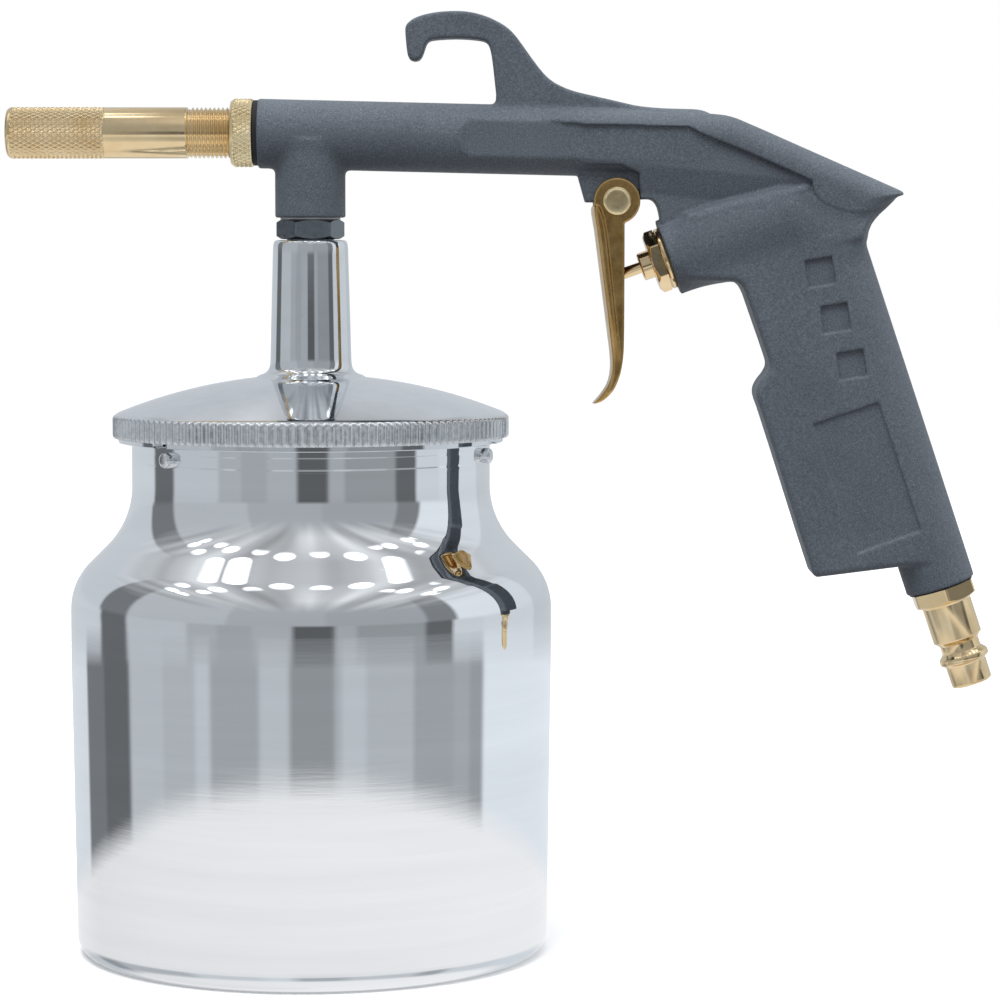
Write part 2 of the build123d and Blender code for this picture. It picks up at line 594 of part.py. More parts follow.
# return spring between the poppet and the shoulder of the chamber
SPRING_R, WIRE_R = 2.9, 0.3
spring_path = Helix(pitch=1.85, height=9.25, radius=SPRING_R, center=(0, 0, 0), direction=(0, 0, 1))
with BuildPart() as valve_spring:
    with BuildSketch(Plane(origin=spring_path @ 0, z_dir=spring_path % 0)):
        Circle(WIRE_R)
    sweep(path=spring_path, is_frenet=True)
valve_spring.part = valve_spring.part.moved(Plane(origin=vpos(23.37), x_dir=(0, 1, 0), z_dir=(cos(va), 0, sin(va))).location)
valve_spring.part.label = "valve_spring"
export_step(valve_spring.part, "parts/valve_spring.step")

# ---------------------------------------------------------------------- inlet
with BuildPart() as inlet_washer:
    with BuildSketch(iplane(0.0)):
        Circle(7.6)
        Circle(INLET_THREAD_R, mode=Mode.SUBTRACT)
    extrude(amount=0.4)
inlet_washer.part.label = "inlet_washer"
export_step(inlet_washer.part, "parts/inlet_washer.step")

with BuildPart() as inlet_plug:
    with BuildSketch(Plane(origin=ipos(0), x_dir=(sin(ia), 0, -cos(ia)), z_dir=(0, -1, 0))):
        with BuildLine():
            Polyline((-10.5, 3.1), (-10.5, 5.9), (-10.0, INLET_THREAD_R - 0.05), (0.4, INLET_THREAD_R - 0.05), (0.4, 6.0), (4.4, 6.0),
                     (4.4, 5.85), (13.1, 5.85), (14.0, 4.65), (16.2, 4.65), (17.3, 5.87), (18.3, 5.87), (19.3, 4.83),
                     (23.8, 4.83), (24.35, 4.3), (24.35, 3.1), (-10.5, 3.1))
        make_face()
    revolve(axis=Axis(tuple(ipos(0)), (sin(ia), 0, -cos(ia))))
    with BuildSketch(iplane(0.4)):
        RegularPolygon(7.0, 6, major_radius=False, rotation=0)
        Circle(3.1, mode=Mode.SUBTRACT)
    extrude(amount=3.55)
    with BuildSketch(Plane(origin=ipos(0), x_dir=(sin(ia), 0, -cos(ia)), z_dir=(0, -1, 0))):
        with BuildLine():
            Polyline((3.95, 7.1), (3.95, 9.5), (2.4, 9.5), (3.4, 8.1), (3.95, 7.1))
        make_face()
    revolve(axis=Axis(tuple(ipos(0)), (sin(ia), 0, -cos(ia))), mode=Mode.SUBTRACT)
inlet_plug.part.label = "inlet_plug"
export_step(inlet_plug.part, "parts/inlet_plug.step")
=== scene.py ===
import bpy, bmesh, math
import numpy as np
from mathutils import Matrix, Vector


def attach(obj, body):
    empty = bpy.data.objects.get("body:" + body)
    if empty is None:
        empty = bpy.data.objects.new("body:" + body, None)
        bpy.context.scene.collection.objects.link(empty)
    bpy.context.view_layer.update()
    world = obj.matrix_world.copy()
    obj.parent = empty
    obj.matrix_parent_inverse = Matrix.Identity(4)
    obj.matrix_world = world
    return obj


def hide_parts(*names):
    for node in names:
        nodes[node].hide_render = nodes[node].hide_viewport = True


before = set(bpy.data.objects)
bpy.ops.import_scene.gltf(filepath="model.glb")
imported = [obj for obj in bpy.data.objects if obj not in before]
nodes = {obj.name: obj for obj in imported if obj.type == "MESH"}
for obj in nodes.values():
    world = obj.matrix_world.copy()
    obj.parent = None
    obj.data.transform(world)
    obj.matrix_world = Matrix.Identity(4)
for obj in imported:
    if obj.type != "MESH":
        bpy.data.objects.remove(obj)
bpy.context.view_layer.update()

MM = 0.001
rad, sin, cos, pi = math.radians, math.sin, math.cos, math.pi

# ============================================================== camera and stage
cam_d = bpy.data.cameras.new("camera")
cam_d.sensor_width = 36.0
cam_d.lens = 126.0
cam_d.clip_start, cam_d.clip_end = 0.05, 20.0
cam = bpy.data.objects.new("camera", cam_d)
bpy.context.scene.collection.objects.link(cam)
bpy.context.scene.camera = cam
CX, CZ, PITCH, DIST = 44.29, 106.07, 4.2, 822.5
cam.location = Vector((CX, -DIST * cos(rad(PITCH)), CZ + DIST * sin(rad(PITCH)))) * MM
cam.rotation_euler = (rad(90 - PITCH), 0, 0)
bpy.context.scene.view_settings.view_transform = "Standard"
bpy.context.scene.view_settings.look = "None"


# ============================================================== material helpers
class Tree:
    """A small helper that adds shader nodes and links to one material."""

    def __init__(self, name):
        self.m = bpy.data.materials.new(name)
        self.m.use_nodes = True
        self.t = self.m.node_tree
        self.b = self.t.nodes["Principled BSDF"]

    def n(self, kind, **kw):
        node = self.t.nodes.new(kind)
        for k, v in kw.items():
            if k in node.inputs:
                node.inputs[k].default_value = v
            else:
                setattr(node, k, v)
        return node

    def l(self, a, b):
        self.t.links.new(a, b)

    def put(self, **kw):
        for k, v in kw.items():
            self.b.inputs[k.replace("_", " ")].default_value = v
        return self

    def coord(self, scale=(1, 1, 1)):
        tc = self.n("ShaderNodeTexCoord")
        mp = self.n("ShaderNodeMapping")
        mp.inputs["Scale"].default_value = scale
        self.l(tc.outputs["Object"], mp.inputs["Vector"])
        return mp.outputs["Vector"]

    def noise(self, vec, scale, detail=3.0, rough=0.55):
        n = self.n("ShaderNodeTexNoise", Scale=scale, Detail=detail, Roughness=rough)
        self.l(vec, n.inputs["Vector"])
        return n.outputs["Fac"]

    def ramp(self, fac, stops, interp="LINEAR"):
        r = self.n("ShaderNodeValToRGB")
        r.color_ramp.interpolation = interp
        e = r.color_ramp.elements
        while len(e) < len(stops):
            e.new(0.5)
        for el, (p, c) in zip(e, stops):
            el.position = p
            el.color = (c, c, c, 1) if isinstance(c, (int, float)) else (*c, 1)
        self.l(fac, r.inputs["Fac"])
        return r.outputs["Color"]

    def math(self, op, a, b=None, clamp=False):
        m = self.n("ShaderNodeMath", operation=op, use_clamp=clamp)
        for i, v in enumerate((a, b)):
            if v is None:
                continue
            if isinstance(v, (int, float)):
                m.inputs[i].default_value = v
            else:
                self.l(v, m.inputs[i])
        return m.outputs[0]

    def bump(self, height, strength, dist, normal=None):
        b = self.n("ShaderNodeBump", Strength=strength, Distance=dist)
        self.l(height, b.inputs["Height"])
        if normal is not None:
            self.l(normal, b.inputs["Normal"])
        return b.outputs["Normal"]


def powder_coat():
    """Dark slate powder coat on the casting: fine orange peel, tiny pale sparkles."""
    t = Tree("powder_coat")
    v = t.coord()
    grain = t.noise(v, 2600, 2.0, 0.6)
    peel = t.noise(v, 900, 3.0, 0.6)
    cloud = t.noise(v, 55, 3.0, 0.5)
    spark = t.ramp(t.noise(v, 5200, 1.0, 0.5), [(0.0, 0), (0.66, 0), (0.74, 1.0), (1.0, 1.0)])
    base = t.ramp(cloud, [(0.3, (0.083, 0.098, 0.119)), (0.7, (0.099, 0.116, 0.139))])
    mix = t.n("ShaderNodeMix", data_type="RGBA")
    t.l(t.math("MULTIPLY", spark, 0.35), mix.inputs[0])
    t.l(base, mix.inputs[6])
    mix.inputs[7].default_value = (0.32, 0.37, 0.41, 1)
    mix2 = t.n("ShaderNodeMix", data_type="RGBA", blend_type="MULTIPLY")
    mix2.inputs[0].default_value = 1.0
    t.l(mix.outputs[2], mix2.inputs[6])
    t.l(t.ramp(grain, [(0.25, 0.60), (0.75, 1.45)]), mix2.inputs[7])
    t.l(mix2.outputs[2], t.b.inputs["Base Color"])
    t.l(t.ramp(peel, [(0.3, 0.50), (0.7, 0.66)]), t.b.inputs["Roughness"])
    nb = t.bump(peel, 0.30, 0.00012)
    t.l(t.bump(grain, 0.35, 0.00006, nb), t.b.inputs["Normal"])
    t.put(Metallic=0.0)
    t.b.inputs["Specular IOR Level"].default_value = 0.55
    return t.m


def brass(name, light, dark, rough=(0.12, 0.22), streak=(1, 1, 1), bump=0.15, patch=0.35):
    """Plated brass: slow tone changes, fine machining streaks along one direction, small worn dulling."""
    t = Tree(name)
    v = t.coord()
    vs = t.coord(streak)
    tone = t.noise(v, 120, 3.0, 0.6)
    fine = t.noise(vs, 1500, 3.0, 0.6)
    dull = t.noise(v, 420, 4.0, 0.65)
    col = t.ramp(tone, [(0.35, light), (0.35 + patch, dark)])
    t.l(col, t.b.inputs["Base Color"])
    t.l(t.ramp(dull, [(0.3, rough[0]), (0.75, rough[1])]), t.b.inputs["Roughness"])
    t.l(t.bump(fine, bump, 0.00003), t.b.inputs["Normal"])
    t.put(Metallic=1.0)
    return t.m


def polished(name, tint, rough, streak, wave, bump, wave_bump):
    """Polished metal with machining streaks and a slight waviness of the wall."""
    t = Tree(name)
    v = t.coord()
    vs = t.coord(streak)
    fine = t.noise(vs, 900, 4.0, 0.65)
    mid = t.noise(vs, 160, 3.0, 0.6)
    w = t.noise(v, wave, 2.0, 0.5)
    t.l(t.ramp(mid, [(0.3, tuple(c * 0.93 for c in tint)), (0.7, tint)]), t.b.inputs["Base Color"])
    t.l(t.ramp(fine, [(0.35, rough[0]), (0.75, rough[1])]), t.b.inputs["Roughness"])
    nb = t.bump(w, wave_bump, 0.0004)
    t.l(t.bump(fine, bump, 0.00002, nb), t.b.inputs["Normal"])
    t.put(Metallic=1.0)
    return t.m


def plain_metal(name, tint, rough, scale=700):
    t = Tree(name)
    v = t.coord()
    f = t.noise(v, scale, 3.0, 0.6)
    t.l(t.ramp(f, [(0.3, tuple(c * 0.82 for c in tint)), (0.7, tint)]), t.b.inputs["Base Color"])
    t.l(t.ramp(f, [(0.3, rough * 0.8), (0.7, rough * 1.2)]), t.b.inputs["Roughness"])
    t.l(t.bump(f, 0.15, 0.00004), t.b.inputs["Normal"])
    t.put(Metallic=1.0)
    return t.m


def plain_soft(name, tint, rough, spec=0.4):
    t = Tree(name)
    v = t.coord()
    f = t.noise(v, 1200, 3.0, 0.6)
    t.l(t.ramp(f, [(0.3, tuple(c * 0.8 for c in tint)), (0.7, tint)]), t.b.inputs["Base Color"])
    t.l(t.ramp(f, [(0.3, rough - 0.08), (0.7, rough + 0.08)]), t.b.inputs["Roughness"])
    t.l(t.bump(f, 0.25, 0.00005), t.b.inputs["Normal"])
    t.b.inputs["Specular IOR Level"].default_value = spec
    return t.m


M_COAT = powder_coat()
M_BRASS = brass("brass_bright", (0.86, 0.68, 0.42), (0.78, 0.57, 0.31), (0.09, 0.17), (0.15, 1, 1), 0.08)
M_KNURL = brass("brass_knurl", (0.90, 0.76, 0.48), (0.82, 0.64, 0.35), (0.16, 0.28), (1, 1, 1), 0.12)
M_TRIG = brass("brass_trigger", (0.66, 0.43, 0.18), (0.52, 0.32, 0.11), (0.16, 0.28), (1, 1, 0.35), 0.10, 0.3)
M_CUP = polished("spun_aluminium", (0.90, 0.915, 0.93), (0.016, 0.04), (0.05, 0.05, 1.0), 26, 0.055, 0.02)
M_CHROME = polished("lid_chrome", (0.80, 0.82, 0.84), (0.04, 0.08), (1, 1, 1), 30, 0.04, 0.05)
M_RIM = plain_metal("rim_chrome", (0.80, 0.82, 0.84), 0.22, 900)
M_GREY = plain_metal("grey_fitting", (0.20, 0.225, 0.25), 0.34, 900)
M_STEEL = plain_metal("steel_part", (0.62, 0.63, 0.64), 0.28, 900)
M_LINER = plain_metal("hard_liner", (0.28, 0.29, 0.30), 0.45, 900)
M_RUBBER = plain_soft("seal_rubber", (0.018, 0.018, 0.02), 0.65)
M_PTFE = plain_soft("white_ptfe", (0.78, 0.78, 0.76), 0.5)


# =============================================================== mesh helpers
def raw_mesh(name, V, quads=None, tris=None):
    me = bpy.data.meshes.new(name)
    V = np.asarray(V, np.float32) * MM
    me.vertices.add(len(V))
    me.vertices.foreach_set("co", V.ravel())
    nq = 0 if quads is None else len(quads)
    nt = 0 if tris is None else len(tris)
    loops, starts, k = [], [], 0
    if nq:
        loops.append(np.asarray(quads, np.int32).ravel())
        starts.append(np.arange(nq, dtype=np.int32) * 4)
        k = nq * 4
    if nt:
        loops.append(np.asarray(tris, np.int32).ravel())
        starts.append(np.arange(nt, dtype=np.int32) * 3 + k)
        k += nt * 3
    me.loops.add(k)
    me.loops.foreach_set("vertex_index", np.concatenate(loops))
    me.polygons.add(nq + nt)
    me.polygons.foreach_set("loop_start", np.concatenate(starts))
    me.update(calc_edges=True)
    me.validate()
    return me


def tidy(me, merge=0.0, sharp=None):
    bm = bmesh.new()
    bm.from_mesh(me)
    if merge:
        bmesh.ops.remove_doubles(bm, verts=bm.verts, dist=merge)
    bmesh.ops.recalc_face_normals(bm, faces=bm.faces)
    for f in bm.faces:
        f.smooth = True
    bm.to_mesh(me)
    bm.free()
    if sharp is not None:
        me.set_sharp_from_angle(angle=rad(sharp))
    return me


def piece(name, me, body, mat, slot, *repl):
    ob = bpy.data.objects.new(name, me)
    bpy.context.scene.collection.objects.link(ob)
    me.materials.append(mat)
    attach(ob, body)
    if repl:
        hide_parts(*repl)
    return ob


def lathe(name, rows, nseg, origin, axis, u=(0, 1, 0), closed=True, merge=1e-7, sharp=28):
    """Turned solid: rows of (t, r) round an axis. t and r may be arrays over the angle."""
    O, A, U = (np.array(x, float) for x in (origin, axis, u))
    A /= np.linalg.norm(A)
    U -= A * U.dot(A)
    U /= np.linalg.norm(U)
    W = np.cross(A, U)
    th = np.arange(nseg) * 2 * pi / nseg
    ring = np.cos(th)[:, None] * U + np.sin(th)[:, None] * W
    V = []
    for t, r in rows:
        t = np.broadcast_to(np.asarray(t, float), (nseg,))
        r = np.broadcast_to(np.asarray(r, float), (nseg,))
        V.append(O + t[:, None] * A + r[:, None] * ring)
    n = len(rows)
    V = np.concatenate(V)
    i = np.arange(n if closed else n - 1)[:, None] * nseg
    j = np.arange(nseg)[None, :]
    i2 = (i + nseg) % (n * nseg)
    j2 = (j + 1) % nseg
    Q = np.stack([i + j, i + j2, i2 + j2, i2 + j], -1).reshape(-1, 4)
    return tidy(raw_mesh(name, V, Q), merge * 1.0, sharp)


def sub(a, b, n):
    """n points from a towards b, without b."""
    return [tuple(np.array(a) + (np.array(b) - np.array(a)) * k / n) for k in range(n)]


def arc(cx, cy, r, a0, a1, n):
    return [(cx + r * cos(rad(a0 + (a1 - a0) * k / n)), cy + r * sin(rad(a0 + (a1 - a0) * k / n))) for k in range(n + 1)]


# ------------------------------------------------------- distance-field solids
def chaikin(pts, it=2):
    """Rounds an outline; a point given with a third value stays a sharp corner."""
    P = [(p[0], p[1], len(p) > 2) for p in pts]
    for _ in range(it):
        out = []
        n = len(P)
        for k in range(n):
            a, b, c = P[k - 1], P[k], P[(k + 1) % n]
            if b[2]:
                out.append(b)
            else:
                out.append((b[0] * 0.75 + a[0] * 0.25, b[1] * 0.75 + a[1] * 0.25, False))
                out.append((b[0] * 0.75 + c[0] * 0.25, b[1] * 0.75 + c[1] * 0.25, False))
        P = out
    return [(p[0], p[1]) for p in P]


def poly2(X, Z, pts):
    """Signed distance to an outline in the XZ plane."""
    d = np.full(np.broadcast(X, Z).shape, 1e9, np.float32)
    s = np.ones_like(d)
    n = len(pts)
    for k in range(n):
        ax, az = pts[k]
        bx, bz = pts[k - 1]
        ex, ez = bx - ax, bz - az
        wx, wz = X - ax, Z - az
        q = np.clip((wx * ex + wz * ez) / (ex * ex + ez * ez + 1e-12), 0, 1)
        d = np.minimum(d, (wx - ex * q) ** 2 + (wz - ez * q) ** 2)
        c1, c2, c3 = Z >= az, Z < bz, ex * wz > ez * wx
        flip = (c1 & c2 & c3) | (~c1 & ~c2 & ~c3)
        s = np.where(flip, -s, s)
    return (np.sqrt(d) * s).astype(np.float32)


def rnd(a, b, r):
    """Intersection of two fields with a rounded edge of radius r."""
    a, b = a + r, b + r
    return np.minimum(np.maximum(a, b), 0) + np.sqrt(np.maximum(a, 0) ** 2 + np.maximum(b, 0) ** 2) - r


def smin(a, b, k):
    h = np.clip(0.5 + 0.5 * (b - a) / k, 0, 1)
    return b * (1 - h) + a * h - k * h * (1 - h)


def smax(a, b, k):
    return -smin(-a, -b, k)


def surface_nets(S, origin, h):
    nx, ny, nz = S.shape
    neg = S < 0
    cnt = np.zeros((nx - 1, ny - 1, nz - 1), np.int8)
    for a in (0, 1):
        for b in (0, 1):
            for c in (0, 1):
                cnt += neg[a:nx - 1 + a, b:ny - 1 + b, c:nz - 1 + c]
    idx = np.argwhere((cnt > 0) & (cnt < 8))
    I, J, K = idx.T
    vals = {}
    for a in (0, 1):
        for b in (0, 1):
            for c in (0, 1):
                vals[a, b, c] = S[I + a, J + b, K + c]
    acc = np.zeros((len(idx), 3))
    num = np.zeros(len(idx))
    for ax in range(3):
        for p in (0, 1):
            for q in (0, 1):
                ca = [p, q]
                ca.insert(ax, 0)
                cb = [p, q]
                cb.insert(ax, 1)
                va, vb = vals[tuple(ca)], vals[tuple(cb)]
                m = (va < 0) != (vb < 0)
                t = np.where(m, va / np.where(m, va - vb, 1), 0)
                pt = np.array(ca, float)[None, :] + t[:, None] * (np.array(cb, float) - np.array(ca, float))[None, :]
                acc += pt * m[:, None]
                num += m
    V = (acc / num[:, None] + idx) * h + np.array(origin)
    vid = np.full(cnt.shape, -1, np.int32)
    vid[I, J, K] = np.arange(len(idx), dtype=np.int32)
    Q = []
    for ax in range(3):
        A = np.moveaxis(neg, ax, 0)
        Vd = np.moveaxis(vid, ax, 0)
        a, b = A[:-1, 1:-1, 1:-1], A[1:, 1:-1, 1:-1]
        e = np.argwhere(a != b)
        i, j, k = e[:, 0], e[:, 1] + 1, e[:, 2] + 1
        q = np.stack([Vd[i, j - 1, k - 1], Vd[i, j, k - 1], Vd[i, j, k], Vd[i, j - 1, k]], -1)
        inside = A[i, j, k]
        if ax == 1:
            inside = ~inside
        q = np.where(inside[:, None], q, q[:, ::-1])
        Q.append(q)
    return V, np.concatenate(Q)


def grid(lo, hi, h):
    ax = [np.arange(l, u + h, h, dtype=np.float32) for l, u in zip(lo, hi)]
    return ax[0][:, None, None], ax[1][None, :, None], ax[2][None, None, :]


# ============================================================ shared dimensions
AXZ = 191.9
va, ia = rad(19.8), rad(18.5)
VX, VZ, IX, IZ = 83.57, 162.91, 147.97, 86.03
PX, PZ = 71.45, 176.05
VAX = (cos(va), 0, sin(va))
IAX = (sin(ia), 0, -cos(ia))
STUDS = (223.5, 343.5, 103.5)

# ================================================================= gun casting
HOOK = [(22.3, 215.0), (22.35, 216.6), (23.75, 218.0), (26.05, 219.0), (29.7, 219.75), (33.9, 220.0), (37.1, 219.8),
        (40.3, 219.05), (43.1, 217.9), (45.8, 216.35), (47.7, 214.55), (49.5, 212.1), (51.8, 208.85), (54.1, 205.85),
        (56.0, 204.0), (58.3, 202.65), (61.5, 201.4), (66.6, 200.25), (71.7, 199.1), (76.2, 198.0), (80.0, 197.2),
        (88.0, 195.6, 1), (88.0, 190.0, 1), (42.0, 190.0, 1), (43.5, 199.8), (43.15, 203.0), (42.5, 209.0),
        (41.9, 212.0), (41.0, 213.1), (38.0, 213.55), (33.9, 213.75), (29.5, 213.5), (27.8, 213.2), (27.1, 212.3),
        (26.3, 209.6), (25.4, 208.6), (24.2, 208.45), (23.1, 209.0), (22.7, 210.6)]
WEB = [(60.0, 193.4, 1), (88.0, 192.9, 1), (91.2, 191.2), (100.3, 187.7), (108.0, 184.3), (116.5, 180.6, 1), (119.0, 176.0), (120.0, 168.0),
       (98.0, 164.0), (86.0, 168.0), (81.7, 171.0, 1), (81.55, 172.6), (80.9, 175.2), (79.6, 176.45),
       (78.0, 176.5), (76.9, 176.4, 1), (76.4, 184.5), (60.0, 184.5)]
# roof band: the silhouette above, and below it the line where the round roof stops and the flat side begins
ROOF = [(30.0, 198.5, 1), (42.0, 198.3), (66.0, 197.75), (76.0, 197.3), (82.7, 196.75), (90.0, 196.45), (95.0, 196.15), (97.6, 195.75), (100.24, 194.85), (119.2, 186.5),
        (136.6, 178.9), (138.0, 178.2), (138.35, 177.65), (137.6, 176.8), (134.4, 174.4), (131.0, 170.0),
        (124.0, 160.0), (108.0, 164.0), (70.0, 178.0), (30.0, 186.0)]
BAND = [(30.0, 210.0), (142.0, 210.0), (142.0, 177.75), (137.5, 177.5), (133.25, 175.35), (129.8, 173.75),
        (127.4, 173.2), (123.6, 173.8), (119.7, 175.35), (117.2, 177.0), (116.4, 180.75, 1), (108.0, 184.5), (100.3, 187.85),
        (91.2, 191.35), (88.0, 193.1, 1), (70.0, 193.55), (37.2, 194.2, 1), (34.6, 194.3, 1), (33.0, 193.4, 1), (30.0, 193.4, 1)]
NECK = [(112.0, 181.0, 1), (137.2, 177.9, 1), (136.4, 176.6), (134.4, 174.55), (132.1, 172.5), (130.3, 169.95), (129.7, 166.5), (127.6, 159.0, 1), (110.0, 160.0, 1)]
GRIP = [(86.0, 158.0), (95.9, 157.45), (98.0, 157.6), (100.0, 156.9), (101.2, 154.9), (101.9, 152.85), (106.3, 140.4),
        (107.0, 138.0), (106.3, 136.2), (104.4, 133.9), (103.7, 132.0), (103.9, 130.2), (105.2, 126.9), (117.1, 89.6),
        (117.9, 88.5), (119.2, 88.6), (137.3, 90.9, 1), (146.07, 91.72, 1), (121.6, 165.0, 1), (128.6, 167.0, 1), (129.8, 171.0), (131.5, 173.4), (128.5, 173.7),
        (124.5, 174.4), (119.6, 176.4), (117.6, 178.0), (116.4, 180.8, 1), (112.0, 179.3), (105.0, 177.4), (98.0, 176.1), (92.5, 174.4), (86.0, 172.6)]
LUG = [(61.54, 185.0, 1), (64.14, 175.75, 1), (67.2, 175.75, 1), (69.0, 172.2), (73.5, 172.2), (76.2, 176.0), (76.9, 185.0, 1)]
SQUARES = [(118.45, 159.55), (122.1, 148.9), (125.9, 138.1)]
LABEL = [(117.14, 124.27), (132.18, 129.31), (142.29, 99.48), (127.64, 94.2)]


def build_casting(h=0.42):
    X, Y, Z = grid((-13.6, -9.9, 81.4), (158.2, 9.9, 221.6), h)
    aY = np.abs(Y)
    d2 = lambda pts, it=2: poly2(X, Z, chaikin(pts, it))
    ext = lambda pts, half, r, it=2: rnd(d2(pts, it), aY - half, r)
    s, c = sin(rad(1.36)), cos(rad(1.36))
    # barrel, front edge lightly rounded, side flats that start with a short ramp
    across = (X + 12.1) * s + (Z - 191.75) * c
    barrel = np.sqrt(Y * Y + across * across) - 8.08
    barrel = rnd(barrel, -12.1 - X + 0 * Z, 0.45)
    barrel = smax(barrel, X - 96.0 + 0 * (Y + Z), 7.0)
    # flat of each side, with a slanted start
    barrel = smax(barrel, aY - 6.95 - np.clip((37.2 - X) * 0.45, 0, 3) + 0 * Z, 0.12)
    D = barrel
    # suction boss
    boss = rnd(np.sqrt(X * X + Y * Y) - 8.2, 172.2 - Z, 0.35)
    boss = np.maximum(boss, Z - 190.0)
    D = smin(D, boss, 1.3)
    # hook on the barrel's back
    D = smin(D, ext(HOOK, 4.0, 0.7, 2), 1.3)
    # web, roof band with the spur
    # web: flush with the side flat down to a line, leaning in below it
    line = 184.6 - (X - 76.0) * 0.095
    below = np.clip(line - Z, 0, 20)
    D = smin(D, rnd(d2(WEB, 1), aY - 6.95 + np.minimum(below * 0.30, 2.0), 0.4), 0.35)
    # the roof band: a rounded strip that narrows the flat side and runs back into the spur
    grow = np.clip((X - 50.0) / 46.0, 0, 1)
    grow = grow * grow * (3 - 2 * grow)
    roof = rnd(d2(ROOF, 1), aY - 7.95 - 0.35 * grow, 5.4 + 0 * X)
    roof = smax(roof, d2(BAND, 1), 0.25)
    rise = np.clip((X - 40.0) / 24.0, 0, 1)
    roof = roof + 2.2 * (1 - rise * rise * (3 - 2 * rise))
    roof = np.maximum(roof, 36.0 - X)
    D = smin(D, roof, 0.25)
    # grip, its round back, valve boss
    # the grip thins a little right under the band's lower edge, so the band stands proud of it
    db = d2(BAND, 1)
    dip = 1.1 * np.exp(-(np.clip(db - 0.3, 0, 50) / 2.6) ** 2) * np.clip((X - 113.0) / 4.0, 0, 1)
    grip = rnd(d2(GRIP, 1), aY - 8.3 + dip, 1.5)
    grip = smin(grip, rnd(d2(NECK, 1), aY - 8.0, 5.0), 0.6)
    t = (X - IX) * sin(ia) - (Z - IZ) * cos(ia)
    o = (X - IX) * cos(ia) + (Z - IZ) * sin(ia)
    tube = rnd(np.sqrt(o * o + Y * Y) - 8.2, t + 0 * Y, 0.3)
    tube = np.maximum(tube, -86.0 - t)
    grip = smin(grip, tube, 0.9)
    w = (X - VX) * cos(va) + (Z - VZ) * sin(va)
    p = -(X - VX) * sin(va) + (Z - VZ) * cos(va)
    vb = rnd(np.sqrt(p * p + Y * Y) - 9.05, -w + 0 * Y, 0.25)
    vb = rnd(vb, w - 33.0 + 0 * Y, 4.0)
    grip = smin(grip, vb, 2.6)
    D = smin(D, grip, 0.35)
    # trigger lug
    D = smin(D, ext(LUG, 4.0, 0.35, 1), 0.5)
    del boss, roof, grip, tube, vb
    # bores
    rx = np.sqrt(Y * Y + (Z - AXZ) ** 2)
    for x0, x1, r in ((-20, -1, 6.07), (-2, 10, 4.8), (9, 26, 4.05), (25, 99, 2.0)):
        D = np.maximum(D, -np.maximum(rx - r, np.maximum(x0 - X, X - x1)))
    rz = np.sqrt(X * X + Y * Y)
    D = np.maximum(D, -np.maximum(rz - 5.6, Z - 181.2))
    D = np.maximum(D, -np.maximum(rz - 4.0, Z - AXZ))
    rw = np.sqrt(p * p + Y * Y)
    for w0, w1, r in ((-5, 12, 5.1), (11, 20, 4.6), (19, 33, 4.2)):
        D = np.maximum(D, -np.maximum(rw - r, np.maximum(w0 - w, w - w1)))
    ri = np.sqrt(o * o + Y * Y)
    for t0, t1, r in ((-12, 5, 6.6), (-80, -11, 3.4)):
        D = np.maximum(D, -np.maximum(ri - r, np.maximum(t0 - t, t - t1)))
    rp = np.sqrt((X - PX) ** 2 + (Z - PZ) ** 2) - 2.08
    D = np.maximum(D, -(rp + 0 * Y))
    # recesses in both sides of the grip
    for cx, cz in SQUARES:
        a = rad(9.0)
        q = [(cx + (u * cos(a) - v * sin(a)) * 3.15, cz + (u * sin(a) + v * cos(a)) * 3.15) for u, v in ((-1, -1), (1, -1), (1, 1), (-1, 1))]
        D = smax(D, -np.maximum(poly2(X, Z, q), 7.35 - aY), 0.3)
    D = smax(D, -smax(poly2(X, Z, LABEL) + 0 * Y, 7.62 - aY, 0.3), 0.45)
    V, Q = surface_nets(D, (X[0, 0, 0], Y[0, 0, 0], Z[0, 0, 0]), h)
    me = tidy(raw_mesh("gun_casting", V, Q))
    return me


H_CAST = 0.36
piece("gun_casting", build_casting(H_CAST), "gun", M_COAT, "body_coat", "body_casting")

# ===================================================================== trigger
PAD = [(65.3, 174.9), (66.1, 170.0), (66.23, 169.5), (67.3, 161.2), (68.37, 152.85), (69.42, 144.5), (69.97, 140.3), (70.07, 136.8),
       (69.44, 133.6), (67.7, 130.9), (65.75, 128.75, 1), (67.9, 129.3), (70.1, 131.4), (71.2, 133.8), (71.75, 137.0),
       (71.6, 140.5), (70.95, 144.5), (70.46, 148.67), (69.27, 159.55), (68.12, 170.35), (66.7, 174.9)]
FLANGE = [(66.3, 174.7), (66.9, 170.0), (68.0, 161.2), (69.1, 152.85), (70.1, 144.5), (70.7, 140.3), (70.8, 136.5),
          (70.2, 133.6), (69.3, 131.6), (69.9, 131.3), (70.92, 132.37), (72.37, 135.72), (72.99, 139.47), (73.19, 143.24),
          (73.22, 162.35), (73.21, 171.09, 1), (71.45, 176.05, 1)]


